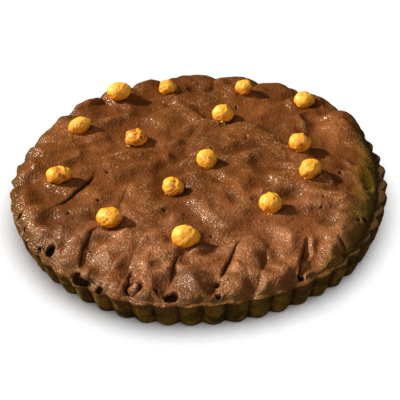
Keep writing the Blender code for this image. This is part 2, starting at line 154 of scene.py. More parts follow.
# Folds: the line's points from the middle outwards, the height of the bank on its left as seen from
# the front, the depth of the groove, how far the chocolate drops beyond it, how far that drop spreads
# and half the width of the painted shadow line along its crease, all in mm
FOLDS = (
    (((-63.6, 9.4), (-67.7, -2.1), (-73.7, -12.3), (-80.8, -21.2), (-90.4, -31.6)), 0.8, 1.0, 0.7, 7, 0.75),
    (((-44, -5), (-47.7, -22), (-50.5, -35)), 0.3, 0.4, 0.3, 5, 0.2),
    (((-59.4, -52.6), (-65.1, -56.4), (-70.1, -70.3), (-73.7, -87.1)), 0.7, 0.9, 0.6, 7, 0.5),
    (((-11.2, -75.5), (-15.2, -88.3), (-17, -96.2), (-18, -101)), 0.6, 0.8, 0.7, 7, 0.5),
    (((27, -62), (19.5, -79), (14.5, -94), (10.5, -105)), 1.2, 1.2, 1.2, 8, 0.7),
    (((64.7, -65.2), (61.3, -78.4), (57.7, -96.1), (57.9, -102.2)), 1.4, 0.5, 4.6, 9, 0.3),
    (((-40, -86), (-43, -96), (-43, -103)), 0.8, 1.4, 0.9, 6, 0.3),
    (((82, -66), (86, -74), (87, -80)), 0.9, 1.6, 1.2, 6, 0.3),
    (((-79.5, -65.5), (-82, -68), (-84.5, -71.5)), 0.1, 0.7, 0.1, 3, 0.6),
)
FOLD_FADED = 0.4 * MM  # how far below nothing the half width of the painted crease shadow goes at its ends
CREASE_SHADOW_REACH = 1.9 * MM  # how far from its line the painted crease shadow is drawn
CREASE_SHADOW_FAR = 2.0 * MM  # distance given to points with no painted crease shadow near them

# Soft hollows in the chocolate: centre, radius, depth, in mm
HOLLOWS = (
    (40, -89, 6.5, 4.8), (36, -70, 5.5, 1.6), (42, -95, 5.5, 1.4), (-62, -87, 6.0, 2.8),
    (-92, -41, 5.5, 2.6), (-99, -24, 6.0, 2.2), (1, 68, 6.5, 1.6), (-7, 39, 6.5, 1.4),
    (-39, -94, 4.0, 1.6), (66, -89, 6.5, 2.4), (4, -72, 9, 1.4), (58, -27, 9, 3.0), (9, -68, 9, 2.8),
)

# Holes in the chocolate near the rim: centre, radius, depth, in mm
HOLES = (
    (-90.5, -67.5, 2.9, 4.8), (-18.3, -115.0, 3.9, 6.5), (9.2, -115.0, 1.6, 3.4), (9, -107, 1.4, 3.2),
    (58, -99.5, 2.1, 4.4), (86, -79, 1.8, 3.8), (101, -48, 1.6, 3.2), (-27, -110, 1.1, 2.4),
    (-112, -33.5, 2.0, 3.6), (-108, -46, 1.3, 2.6),
)
HOLE_SINK = 0.5  # how much further a hole goes down, as a share of its depth
HOLE_DARK = 1.3 * MM  # depth at which a hole's painted shadow is fully dark
HOLE_LIP = 0.2 * MM
HOLE_LIP_WIDTH = 0.8 * MM
HOLE_FLOOR = 0.4 * MM  # chocolate left over the rim at the bottom of a hole
HOLE_TEAR = 0.45 * MM  # how far noise pulls the holes' outlines
HOLE_TEAR_CELL = 3.2 * MM

# A round plug of chocolate in a ring-shaped hollow: centre, radius of the ring, depth, in mm
PLUG = (-40, -106, 4.4, 2.8)
PLUG_RING_WIDTH = 1.4 * MM

# Shelves, where the chocolate is drawn back and leaves a flat film on the rim: direction and spread in
# degrees, width in mm
SHELVES = ((217, 4.5, 3.6), (228, 4.5, 4.6), (238, 3.0, 3.4))

# Pinholes left by air in the chocolate: centre, radius, in mm
PINHOLES = (
    (-63, -27, 0.9), (-81, -37, 0.8), (-22, -37, 0.9), (-9.5, -42, 0.7), (-66, -74, 0.7),
    (-26, -112, 0.8), (33, -30, 1.0), (6.5, -61, 0.8), (77, -32, 0.7), (75, -40, 0.7), (-58, 4, 0.8),
    (88, 50, 0.8), (32, 34, 0.8), (97, -50, 1.0), (90, -4, 1.0), (27, 72, 0.7), (9, 22, 0.7),
)
PINHOLE_DEPTH = 1.6 * MM
PINHOLE_PULL = 0.5  # share of the way that mesh points beside a pinhole are drawn in towards it
PINHOLE_REACH = 3.0 * MM

# The front, where the chocolate is palest, partly from a painted highlight and painted sheen
FORE_DIRECTION = math.radians(256)
FORE_SPREAD = math.radians(46)

# Painted olive shadow on the chocolate's shoulder near its edge, in mm in from its rise: at least, and more
# on the bare side
OLIVE_SHADOW_REACH = 4.5
OLIVE_SHADOW_BARE = 12.5
PALE_FILM = 1.2 * MM  # how far in from its rise the chocolate is painted as pale as the film on the rim, partly a painted highlight

# Broad lighter and deeper patches on the chocolate, partly tone and partly painted light and shade: centre
# and radius in mm, how much lighter from -1 to 1
TONE_AND_LIGHT_PATCHES = (
    (-7, -102, 9, -0.8), (2, 34, 17, -0.4), (5, -24, 15, -0.4), (42, 72, 15, 0.4),
    (-27, 34, 15, 0.35), (26, -18, 13, 0.4), (63, -66, 13, 0.4), (84, -48, 12, -0.4),
    (66, 30, 14, -0.3), (-60, -22, 22, 0.3), (-83, -50, 17, -0.75), (-66, 38, 24, 0.35),
    (0, 92, 18, -0.45), (84, 42, 15, 0.45), (0, -113, 13, -0.5), (62, -92, 11, 0.5), (2, -4, 13, -0.3),
)

# The thin coat of chocolate that hangs down the outside of the wall
DRAPE = 7.4 * MM
DRAPE_LEAST = 0.5 * MM
DRAPE_CELL = 11 * MM
DRAPE_UNEVEN = 0.28  # share of the drape's depth that comes and goes with noise
DRAPE_DIRECTION = math.radians(232)
DRAPE_SPREAD = math.radians(31)
DRAPE_ROUND = 0.30  # share of the drape's depth away from its lowest stretch
SECOND_DRAPE = 0.35  # share added in a second, shorter stretch
SECOND_DIRECTION = math.radians(304)
SECOND_SPREAD = math.radians(12)
DRAPE_BARE = (0.50, 0.12)  # bareness of the rim where the coat ends, and over how much bareness it fades
DRAPE_COAT = 0.35 * MM
DRAPE_ROLL = 1.3 * MM  # how much thicker the coat is where it hangs lowest
DRAPE_ROLL_CELL = 9 * MM
DRAPE_ROWS = (0.08, 0.22, 0.38, 0.54, 0.70, 0.84, 0.94, 1.0)  # shares of the way down the drape
COAT_SINK = 0.1 * MM  # the coat's lower edge ends this far inside the wall

# Caves under the lobes at the rim, painted near black as their shadow: direction in degrees, height,
# half width and half height in mm
CAVES = ((232.6, 20.0, 8.6, 2.1), (239.6, 19.6, 2.6, 1.8), (213.2, 20.0, 2.2, 1.6))
CAVE_DEPTH = 1.0 * MM
CAVE_LIP = 0.5 * MM
CAVE_COAT = 1.5 * MM  # the coat's thickness round a cave

SKIN_CELLS = 284  # squares along one side of the chocolate skin's grid
SKIN_TIGHTEN = 1.15  # above 1 the grid's rings lie closer together towards the edge
SKIN_FORWARD = 34 * MM  # how far forward the grid's middle lies, which makes the front squares finest
SKIN_KEPT = 0.985  # share of the radius past which pinholes don't draw the grid in

# What the masks say below the chocolate's skin, on the coat and inside the case
MASKS_BELOW = {"tone_and_light_patch": 0.0, "crest": 0.5, "cavity": 0.0, "bloom_and_sheen": 0.5, "crease_shadow": -0.4, "crease_shadow_off": 2.0}

# Hazelnuts: length, width and height in mm, heading of the length in degrees, and how dark the roast
# is, from 0 to 1
NUTS = (
    (17.0, 13.0, 12.2, 4, 0.30),
    (12.6, 12.2, 10.8, 0, 0.50),
    (11.6, 11.4, 11.2, 60, 0.30),
    (14.0, 12.8, 11.6, 10, 0.25),
    (14.8, 12.6, 11.8, -20, 0.20),
    (16.2, 11.4, 10.8, 14, 0.40),
    (14.8, 12.8, 11.8, -6, 0.85),
    (15.0, 13.0, 12.2, -12, 0.60),
    (14.2, 13.2, 13.0, 70, 0.25),
    (15.0, 12.8, 12.2, 35, 0.40),
    (16.6, 12.6, 12.0, 0, 0.60),
    (14.0, 13.0, 12.2, -10, 0.45),
    (14.4, 13.6, 13.8, 80, 0.35),
    (17.0, 13.0, 12.4, -24, 0.55),
    (17.2, 14.2, 13.6, -4, 0.15),
)
NUT_TURNS = 96
NUT_ROWS = 64
NUT_LEAN = 9  # the most that a nut leans from level, in degrees
NUT_SEAT_GAP = 0.15 * MM
NUT_ENDS = (-0.96, 1.03)  # where a nut's two ends lie, as shares of its half length
NUT_CREASES = 2.2  # how steeply knobs and lumps fall to the creases between them

# Knobs and lumps on a nut: cell, seed, share of the knobs' height, level that sinks them; and its grain:
# cell, seed, share of the knobs' height
NUT_RELIEF = ((4.8 * MM, 40, 0.7, 0.60), (2.1 * MM, 60, 0.4, 0.45))
NUT_GRAIN = (0.9 * MM, 80, 0.15)

# Bits of pale nut skin on the chocolate: centre, size, in mm
CRUMBS = (
    (16.8, 53.3, 2.0), (18.3, 52.6, 1.3), (64.1, 16.0, 2.1), (65.8, 15.0, 1.4), (-45.9, 33.6, 1.4),
    (-44.6, 32.6, 1.1), (-22.2, 83.1, 1.2), (-20.7, -19.1, 1.3), (42.3, -44.8, 1.6),
    (44.0, -45.6, 1.2), (66.7, -13.5, 1.1),
)
CRUMB_SHAPE = (0.5, 0.38, 0.3)  # half sizes of a crumb, as shares of its size
CRUMB_DENTS = (0.8, 80, 0.25)  # noise that dents a crumb: cell, seed, height, in half sizes
CRUMB_TURN = 1.7  # radians from one crumb's heading to the next
CRUMB_RISE = 0.12  # how far above the chocolate a crumb's middle lies, as a share of its size
CRUMB_MASKS = {"dent": 0.1, "roast": 0.0, "low": 0.2}

# Where the key light and the front fill come from
KEY_FROM = (-0.765, 0.191, 0.616)
FRONT_FROM = (-0.35, -0.75, 0.55)

# Camera
SENSOR = 36  # width of the sensor in mm
FRAME_PIXELS = 400
AIM_SHIFT = (0.7, 6.3)  # how far right of the tart's middle and how far below it the camera aims

# Shades inside the finishes, beside the main colours in TartColours
GRAIN_SHADE = (0.040, 0.010, 0.003)
# Pale film on the rim, partly a painted highlight along its lit edge
FILM_AND_EDGE_HIGHLIGHT = (0.23, 0.090, 0.036)
# Lighter and deeper patches, partly tone and partly painted light and shade
TONE_AND_LIGHT_SHADES = ((0.055, 0.015, 0.0030), (0.330, 0.105, 0.0260))
# Painted olive shadow on the shoulder near the chocolate's edge
OLIVE_SHADOW_SHADES = ((0.050, 0.028, 0.0040), (0.100, 0.068, 0.0040))
# Painted shadow in holes, caves, grooves and pinholes
PAINTED_HOLE_SHADOW = (0.0022, 0.0014, 0.0005)
UPPER_WALL_SHADE = (0.200, 0.085, 0.020)
SCUFF_SHADE = (0.20, 0.11, 0.04)
# Darker blotches on the wall
DARK_BLOTCH_SHADE = (0.026, 0.014, 0.0028)
BARE_RIM_SHADE = (0.072, 0.035, 0.0115)
CRUMB_PIT_SHADE = (0.014, 0.007, 0.002)
# Painted shadow in the valleys between flutes
PAINTED_VALLEY_SHADOW = (0.010, 0.005, 0.0010)
SCORCH_SHADE = (0.20, 0.055, 0.010)
NUT_GRAIN_SHADE = (0.55, 0.18, 0.010)
CHOCOLATE_GLOSS_TINT = (1.0, 0.80, 0.52)
PASTRY_GLOSS_TINT = (1.0, 0.75, 0.45)


class TartForm(PropertyGroup):
    """Heights of the tart's relief."""

    dome_height: FloatProperty(
        name="Dome height", description="From the chocolate's edge up to its top", default=6.6 * MM,
        min=0, unit="LENGTH", precision=4)
    lobe_drop: FloatProperty(
        name="Lobe drop", description="How far the top drops between two lobes", default=2.9 * MM,
        min=0, unit="LENGTH", precision=4)
    ribbon_crown: FloatProperty(
        name="Ribbon crown", description="How far a ribbon's middle stands over its edges at the front",
        default=3.4 * MM, min=0, unit="LENGTH", precision=4)
    swell: FloatProperty(
        name="Swell", description="Height of the broad waves", default=2.6 * MM,
        min=0, unit="LENGTH", precision=4)
    ripple: FloatProperty(
        name="Ripple", description="Height of the short waves", default=2.9 * MM,
        min=0, unit="LENGTH", precision=4)
    lumps: FloatProperty(
        name="Lumps", description="Height of the small lumps in the chocolate's skin", default=0.75 * MM,
        min=0, unit="LENGTH", precision=5)
    dough_grain: FloatProperty(
        name="Dough grain", description="Roughness of the baked pastry's wall", default=0.30 * MM,
        min=0, unit="LENGTH", precision=5)
    pillows: FloatProperty(
        name="Pillows", description="Height of the soft pillows in the chocolate, highest near its edge",
        default=1.05 * MM, min=0, unit="LENGTH", precision=5)
    nut_knobs: FloatProperty(
        name="Nut knobs", description="Height of the knobs on a roasted hazelnut", default=0.60 * MM,
        min=0, unit="LENGTH", precision=5)


class TartColours(PropertyGroup):
    """Colours and gloss of the tart's three foods."""

    # Deep in the hollows and warm on the backs: tone, and partly painted shade in the hollows
    chocolate_deep: FloatVectorProperty(
        name="Chocolate, deep", description="Chocolate in its hollows", subtype="COLOR", size=3,
        min=0, max=1, default=(0.106, 0.029, 0.0050))
    chocolate_warm: FloatVectorProperty(
        name="Chocolate, warm", description="Chocolate on its broad backs", subtype="COLOR", size=3,
        min=0, max=1, default=(0.162, 0.048, 0.0090))
    chocolate_red: FloatVectorProperty(
        name="Chocolate, red", description="Thin, reddish chocolate at the front", subtype="COLOR", size=3,
        min=0, max=1, default=(0.185, 0.051, 0.0110))
    # Pale bloomed crests at the front, partly painted sheen
    chocolate_bloom_and_sheen: FloatVectorProperty(
        name="Chocolate, bloom", description="Pale bloom on the crests", subtype="COLOR", size=3,
        min=0, max=1, default=(0.305, 0.101, 0.036))
    # Pale crystals, partly painted glints
    crystal_and_glint: FloatVectorProperty(
        name="Crystals", description="Fine pale crystals in the skin", subtype="COLOR", size=3,
        min=0, max=1, default=(0.66, 0.45, 0.21))
    chocolate_roughness: FloatProperty(
        name="Chocolate roughness", description="Blur of the chocolate's sheen", subtype="FACTOR",
        min=0, max=1, default=0.27)
    # Dark in the hollows and light on the ribs: tone, and partly painted light and shade
    pastry_dark: FloatVectorProperty(
        name="Pastry, dark", description="Cocoa pastry in its hollows", subtype="COLOR", size=3,
        min=0, max=1, default=(0.064, 0.032, 0.0027))
    pastry_light: FloatVectorProperty(
        name="Pastry, light", description="Cocoa pastry on its ribs", subtype="COLOR", size=3,
        min=0, max=1, default=(0.310, 0.155, 0.0180))
    nut_golden: FloatVectorProperty(
        name="Nut, golden", description="A lightly roasted hazelnut", subtype="COLOR", size=3,
        min=0, max=1, default=(0.97, 0.445, 0.022))
    # A darker roast, and the painted shade low down on each nut
    nut_toast_and_shade: FloatVectorProperty(
        name="Nut, toasted", description="A darkly roasted hazelnut", subtype="COLOR", size=3,
        min=0, max=1, default=(0.78, 0.26, 0.010))
    nut_pale: FloatVectorProperty(
        name="Nut, pale", description="Pale skin left on a hazelnut", subtype="COLOR", size=3,
        min=0, max=1, default=(0.93, 0.58, 0.16))


class TartStudio(PropertyGroup):
    """Light, floor and camera."""

    floor: FloatVectorProperty(
        name="Floor", description="Colour of the floor", subtype="COLOR", size=3, min=0, max=1,
        default=(0.9, 0.9, 0.9))
    key: FloatProperty(
        name="Key light", description="Strength of the light from the left", min=0, default=5.8)
    key_softness: FloatProperty(
        name="Key softness", description="Angle that the key light covers", subtype="ANGLE", min=0,
        default=math.radians(3.5))
    front: FloatProperty(
        name="Front fill", description="Strength of the soft light from the front", min=0, default=1.2)
    front_softness: FloatProperty(
        name="Front softness", description="Angle that the front fill covers", subtype="ANGLE", min=0,
        default=math.radians(55))
    sweep: FloatProperty(
        name="Floor light", description="Strength of the soft light on the floor", min=0, default=3.0)
    sweep_softness: FloatProperty(
        name="Floor softness", description="Angle that the floor light covers", subtype="ANGLE", min=0,
        default=math.radians(70))
    fill: FloatProperty(name="Fill", description="Strength of the light from all round", min=0, default=0.22)
    gloss_fill: FloatProperty(
        name="Fill in the sheen", description="Share of the fill that a glossy skin reflects",
        subtype="FACTOR", min=0, max=1, default=0.12)
    elevation: FloatProperty(
        name="Camera elevation", description="Height of the camera over the table, as an angle",
        subtype="ANGLE", default=math.radians(37.38))
    distance: FloatProperty(
        name="Camera distance", description="From the camera to the tart", unit="LENGTH", default=1.004)
    lens: FloatProperty(
        name="Lens", description="Focal length", subtype="DISTANCE_CAMERA", default=140.7)
    roll: FloatProperty(
        name="Camera roll", description="How far the camera leans", subtype="ANGLE",
        default=math.radians(-1.9))


def soft_noise(x, y, cell, seed):
    """Smooth noise over the plane, from -1 to 1.

    A turned lattice holds a random height at each corner; inside a cell the four corner heights are blended
    with weights a * a * (3 - 2a) of the way a across it.
    """
    size = 64
    lattice = np.random.default_rng(seed).uniform(-1, 1, (size, size))
    turn = 0.7 + 1.9 * seed
    u = (x * math.cos(turn) + y * math.sin(turn)) / cell + size / 2
    v = (y * math.cos(turn) - x * math.sin(turn)) / cell + size / 2
    i, j = np.floor(u).astype(int), np.floor(v).astype(int)
    a, b = u - i, v - j
    a, b = a * a * (3 - 2 * a), b * b * (3 - 2 * b)
    i, j = i % size, j % size
    k, l = (i + 1) % size, (j + 1) % size
    low = lattice[i, j] * (1 - a) + lattice[k, j] * a
    high = lattice[i, l] * (1 - a) + lattice[k, l] * a
    return low * (1 - b) + high * b


def solid_noise(points, cell, seed):
    """Smooth noise through space, from -1 to 1.

    The eight corners of a cell of a turned lattice are blended as in soft_noise.
    """
    size = 24
    lattice = np.random.default_rng(seed).uniform(-1, 1, (size, size, size))
    turned = points @ np.array(Euler((0.5, 0.9, 0.3)).to_matrix())
    place = turned / cell + 1000
    low = np.floor(place).astype(int)
    share = place - low
    share = share * share * (3 - 2 * share)
    total = 0
    for corner in np.ndindex(2, 2, 2):
        i, j, k = np.moveaxis((low + corner) % size, -1, 0)
        wi, wj, wk = np.moveaxis(np.where(corner, share, 1 - share), -1, 0)
        total = total + lattice[i, j, k] * wi * wj * wk
    return total


def angle_off(angle, direction):
    """The angle from direction, taken the short way round."""
    return np.angle(np.exp(1j * (angle - direction)))


def bump_round(angle, direction, spread):
    """exp(-(off / spread) ** 2), with off the angle from direction."""
    return np.exp(-((angle_off(angle, direction) / spread) ** 2))


def bumps_round(angle, rows):
    """The sum of height * bump_round for rows of direction and spread in degrees, and height in mm."""
    return sum(high * MM * bump_round(angle, math.radians(at), math.radians(wide)) for at, wide, high in rows)


def spot(x, y, px, py, radius, power):
    """exp(-(distance / radius) ** power) round the place px, py; place and radius are in mm."""
    return np.exp(-((np.hypot(x - px * MM, y - py * MM) / (radius * MM)) ** power))


def smooth(share):
    """share * share * (3 - 2 share), after the share is kept between 0 and 1."""
    share = np.clip(share, 0, 1)
    return share * share * (3 - 2 * share)


def flute_wave(angle):
    """1 on a flute's outermost line, 0 in the valley beside it: |cos| of half the flute angle, softened."""
    swing = np.cos(FLUTES * (angle - FLUTE_PHASE) / 2)
    sharp = np.sqrt(swing**2 + FLUTE_SOFTNESS**2)
    return (sharp - FLUTE_SOFTNESS) / (math.sqrt(1 + FLUTE_SOFTNESS**2) - FLUTE_SOFTNESS)


def rim_height(angle):
    """The baked rim's height: the case's height plus three sine waves of 3, 5 and 8 turns round the case."""
    waves = np.sin(3 * angle + 0.6) + 0.6 * np.sin(5 * angle + 2.1) + 0.4 * np.sin(8 * angle)
    return CASE_HEIGHT + RIM_UNEVEN * waves / 2


def out_of_round(angle):
    """How far the case stands out from a true circle: the sum of a few bumps round it."""
    return bumps_round(angle, OUT_OF_ROUND)


def case_radius(angle, tip_radius):
    """Tip radius, less the flute depth times how far the direction is from a flute's outermost line."""
    return tip_radius + out_of_round(angle) - FLUTE_DEPTH * (1 - flute_wave(angle))


def wall_flare(share):
    """The wall's way from base to rim at a share of its height: share + belly * sin(pi * share)."""
    return share + WALL_BELLY * np.sin(math.pi * share)


def wall_radius(angle, share):
    """The wall's outer face at a share of its height."""
    base, outer = case_radius(angle, BASE_RADIUS), case_radius(angle, RIM_RADIUS)
    return base + (outer - base) * wall_flare(share)


def coat_shown(angle):
    """1 where chocolate laps over the rim, 0 on the bare side."""
    last, fade = DRAPE_BARE
    return np.clip((last - rim_bareness(angle)) / fade, 0, 1)


def drape_depth(angle):
    """How far a thin coat of chocolate hangs down the wall: none where the rim is bare.

    The least depth, plus the full depth times a share: some all round, more on two stretches of the front,
    and uneven with noise.
    """
    uneven = soft_noise(RIM_RADIUS * np.cos(angle), RIM_RADIUS * np.sin(angle), DRAPE_CELL, 15)
    share = DRAPE_ROUND + (1 - DRAPE_ROUND) * bump_round(angle, DRAPE_DIRECTION, DRAPE_SPREAD)
    share = share + SECOND_DRAPE * bump_round(angle, SECOND_DIRECTION, SECOND_SPREAD)
    return DRAPE_LEAST + DRAPE * share * coat_shown(angle) * (1 - DRAPE_UNEVEN + DRAPE_UNEVEN * uneven)


def lobe_wave(angle):
    """0 in the gap between two lobes, 1 over a lobe's middle: sin(pi * way across the lobe) to a power."""
    gaps = np.radians(np.array(LOBE_GAPS, float))
    turn = np.mod(angle - gaps[0], 2 * math.pi)
    starts = gaps - gaps[0]
    ends = np.append(starts[1:], 2 * math.pi)
    lobe = np.searchsorted(starts, turn, side="right") - 1
    along = (turn - starts[lobe]) / (ends[lobe] - starts[lobe])
    return np.sin(math.pi * np.clip(along, 0, 1)) ** LOBE_ROUNDING


def cave_share(points):
    """1 inside a cave at the rim and 0 outside, and the same for the lip under it.

    With across and up the way off the cave's middle in half sizes, the cave is
    exp(-(across ** 2 + up ** 2) ** 2) and its lip exp(-across ** 2 - (up + 1.7) ** 2 / 0.3), both faded out
    inside the case's mouth.
    """
    radius, angle = np.hypot(points[:, 0], points[:, 1]), np.arctan2(points[:, 1], points[:, 0])
    outside = np.clip((radius - CASE_MOUTH_RADIUS) / (2 * MM), 0, 1)
    caves, lips = np.zeros(len(points)), np.zeros(len(points))
    for at, height, half_width, half_height in CAVES:
        across = angle_off(angle, math.radians(at)) * radius / (half_width * MM)
        up = (points[:, 2] - height * MM) / (half_height * MM)
        caves = np.maximum(caves, outside * np.exp(-((across**2 + up**2) ** 2)))
        lips = np.maximum(lips, outside * np.exp(-(across**2) - (up + 1.7) ** 2 / 0.3))
    return caves, lips


def fore_share(angle):
    """1 along the front, where a pale edge of chocolate, partly a painted highlight, lies on the rim, 0 at
    the back and the bare side.
    """
    return bump_round(angle, FORE_DIRECTION, FORE_SPREAD)


def bulge_height(angle):
    """How much higher a bulging lobe stands: the sum of a few bumps round the edge."""
    return bumps_round(angle, BULGES)


def rim_bareness(angle):
    """1 in the middle of the side where the rim shows, 0 well away from it."""
    return bump_round(angle, SIDE_DIRECTION, SIDE_SPREAD)


def rim_fullness(angle):
    """1 where the chocolate bulges out over the rim and hides it, 0 well away: exp(-(off / spread) ** 6)."""
    return np.exp(-((angle_off(angle, FULL_DIRECTION) / FULL_SPREAD) ** 6))


def lobe_radius(angle):
    """The chocolate's lobed outline.

    The rim's radius, less a setback that is widest on the bare side and none where the chocolate bulges out,
    less the retreat between two lobes, plus the bulging lobes.
    """
    bare, full = rim_bareness(angle), rim_fullness(angle)
    retreat = LOBE_RETREAT * (1 - lobe_wave(angle)) * (1 - 0.5 * bare)
    setback = (FLUTE_DEPTH / 2 + FOOT_SETBACK) * (1 - full) + SIDE_SETBACK * bare
    return RIM_RADIUS + out_of_round(angle) - setback - retreat + BULGE_OUT * bulge_height(angle)


def foot_radius(angle):
    """The chocolate's edge on the rim.

    Its lobed outline, and where it doesn't bulge out, further out over each flute and with half the retreat
    between two lobes. It is nowhere inside the case's mouth.
    """
    bare, full = rim_bareness(angle), rim_fullness(angle)
    settled = FLUTE_DEPTH * (0.5 * flute_wave(angle) - 0.5 * bare) * (1 - 0.8 * bare)
    outer = lobe_radius(angle) + (1 - full) * (settled + 0.5 * LOBE_RETREAT * (1 - lobe_wave(angle)))
    return np.maximum(outer, CASE_MOUTH_RADIUS + out_of_round(angle) + 0.4 * MM)


def rise_radius(angle):
    """Where the chocolate rises from its film on the rim: nearly at its edge, drawn in behind each shelf."""
    lobe = lobe_radius(angle)
    return lobe + 0.95 * (foot_radius(angle) - lobe) - bumps_round(angle, SHELVES)


def edge_crumble(x, y):
    """Small lumps of the chocolate's edge: two layers of noise, none on the bare side or where it bulges."""
    angle = np.arctan2(y, x)
    lumps = sum(height * soft_noise(x, y, cell, seed) for cell, seed, height in CRUMBLE_NOISE)
    return lumps * (1 - rim_fullness(angle)) * coat_shown(angle)


def ribbon_relief(x, y, crown_height):
    """Rounded backs of the ribbons: sin(pi * way across) ** 0.8 - 0.65, growing towards the front."""
    across = x * math.cos(RIBBON_LEAN) + y * math.sin(RIBBON_LEAN)
    across = across + RIBBON_WANDER * soft_noise(x, y, RIBBON_WANDER_CELL, 5)
    edges = np.array(RIBBON_EDGES, float) * MM
    ribbon = np.clip(np.searchsorted(edges, across) - 1, 0, len(edges) - 2)
    along = np.clip((across - edges[ribbon]) / (edges[ribbon + 1] - edges[ribbon]), 0, 1)
    crown = np.sin(math.pi * along) ** 0.8 - 0.65
    return crown_height * smooth((-RIBBON_START - y) / RIBBON_GROWTH) * crown


def line_distance(x, y, points):
    """Distance to a line through points, the same signed by side, and the share of the line passed there."""
    nearest = np.full_like(x, 1.0)
    signed = np.full_like(x, 1.0)
    along = np.zeros_like(x)
    for n in range(len(points) - 1):
        start, step = points[n], points[n + 1] - points[n]
        t = np.clip(((x - start[0]) * step[0] + (y - start[1]) * step[1]) / (step @ step), 0, 1)
        dx, dy = x - start[0] - t * step[0], y - start[1] - t * step[1]
        distance = np.hypot(dx, dy)
        closer = distance < nearest
        nearest = np.where(closer, distance, nearest)
        signed = np.where(closer, np.copysign(distance, step[0] * dy - step[1] * dx), signed)
        along = np.where(closer, (n + t) / (len(points) - 1), along)
    return nearest, signed, along


def fold_relief(x, y):
    """Folds, as (height, depth of the grooves alone, the painted shadow's half width, signed distance from
    it).

    With d the distance to a fold's line: a bank of exp(-d / reach) on its left, a drop of exp(-d / spread) on
    its right, and a groove of exp(-(d / width) ** 2) between, widest half-way along, all faded out at both
    ends. A painted shadow line marks the crease; its half width is 0.3 + 0.7 * sin(pi * way along) of its
    greatest, and less than nothing past its ends, so that it comes to a point there.
    """
    bent_x = x + FOLD_WANDER * soft_noise(x, y, FOLD_WANDER_CELL, 6)
    bent_y = y + FOLD_WANDER * soft_noise(x, y, FOLD_WANDER_CELL, 7)
    total, grooves = np.zeros_like(x), np.zeros_like(x)
    crease_shadow, crease_shadow_off = np.full_like(x, -FOLD_FADED), np.full_like(x, CREASE_SHADOW_FAR)
    for line, bank, groove, drop, spread, shadow_width in FOLDS:
        nearest, signed, along = line_distance(bent_x, bent_y, np.array(line, float) * MM)
        fade = np.clip(np.minimum(along / 0.3, (1.12 - along) / 0.25), 0, 1)
        middle = np.sin(math.pi * np.clip(along, 0, 1))
        beyond = (1 + np.tanh(signed / FOLD_EDGE)) / 2
        left = bank * MM * np.exp(-nearest / FOLD_BANK_REACH) * (1 - beyond)
        right = -drop * MM * np.exp(-nearest / (spread * MM)) * beyond
        width = FOLD_GROOVE * (0.55 + 0.9 * middle)
        cut = -groove * MM * np.exp(-((nearest / width) ** 2))
        total += fade * (left + right + cut)
        grooves = np.maximum(grooves, -fade * cut)
        half_width = shadow_width * MM * (0.3 + 0.7 * middle)
        near = nearest < CREASE_SHADOW_REACH
        crease_shadow = np.where(near, fade * half_width - (1 - fade) * FOLD_FADED, crease_shadow)
        crease_shadow_off = np.where(near, np.clip(signed, -CREASE_SHADOW_FAR, CREASE_SHADOW_FAR), crease_shadow_off)
    return total, grooves, crease_shadow, crease_shadow_off


def hollow_relief(x, y):
    """Hollows, holes and the plug's ring, as (height, depth of the holes alone, depth for the painted
    shadow).

    A hollow is -depth * exp(-(distance / radius) ** 2.5). A hole is steeper, with the power 6, has its
    outline torn by noise, and a small raised lip. The plug's ring is a narrow bell round its circle, and
    gets half as much painted shadow as a hole.
    """
    total, holes = np.zeros_like(x), np.zeros_like(x)
    for px, py, radius, depth in HOLLOWS:
        total -= depth * MM * spot(x, y, px, py, radius, 2.5)
    torn_x = x + HOLE_TEAR * soft_noise(x, y, HOLE_TEAR_CELL, 16)
    torn_y = y + HOLE_TEAR * soft_noise(x, y, HOLE_TEAR_CELL, 17)
    for px, py, radius, depth in HOLES:
        holes = np.maximum(holes, depth * MM * spot(torn_x, torn_y, px, py, radius, 6))
        past_lip = np.hypot(torn_x - px * MM, torn_y - py * MM) - 1.3 * radius * MM
        total += HOLE_LIP * np.exp(-((past_lip / HOLE_LIP_WIDTH) ** 2))
    px, py, radius, depth = PLUG
    past_ring = np.hypot(x - px * MM, y - py * MM) - radius * MM
    ring = depth * MM * np.exp(-((past_ring / PLUG_RING_WIDTH) ** 2))
    return total - ring - holes, holes, np.maximum(holes, 0.5 * ring)


def tone_and_light_share(x, y):
    """How much lighter the chocolate is, partly as painted light and shade, from -1 to 1: the sum of amount *
    exp(-(distance / radius) ** 2).
    """
    return sum(amount * spot(x, y, px, py, radius, 2) for px, py, radius, amount in TONE_AND_LIGHT_PATCHES)


def pinhole_share(x, y):
    """1 inside a pinhole and 0 outside: exp(-(distance / radius) ** 4)."""
    return np.max([spot(x, y, px, py, radius, 4) for px, py, radius in PINHOLES], axis=0)


def dome(radius, angle, form):
    """The dome's height over the chocolate's edge, how far in a point lies, and its way across the film.

    The shoulder is 1 - (1 - inset / run) ** 2.3, to a power near a half, times sqrt(film * (2 - film)), which
    rounds the edge of the film on the rim. The dome is lower in a gap between lobes and higher on a bulge.
    """
    bare, full = rim_bareness(angle), rim_fullness(angle)
    inset = np.clip(rise_radius(angle) - radius, 0, None)
    film_width = FILM_WIDTH + (FULL_FILM_WIDTH - FILM_WIDTH) * full
    film = np.clip((foot_radius(angle) - radius) / film_width, 0, 1)
    shoulder = 1 - (1 - np.clip(inset / DOME_RUN, 0, 1)) ** DOME_FALL
    shoulder = shoulder ** (DOME_ROUNDING + BARE_ROUNDING * bare + FULL_ROUNDING * full)
    gap = (1 + FULL_GAPS * full) * (1 - lobe_wave(angle)) * np.exp(-((inset / LOBE_REACH) ** 2))
    bulge = bulge_height(angle) * np.exp(-((inset / BULGE_REACH) ** 2))
    height = form.dome_height - form.lobe_drop * gap + bulge
    return height * shoulder * np.sqrt(film * (2 - film)), inset, film


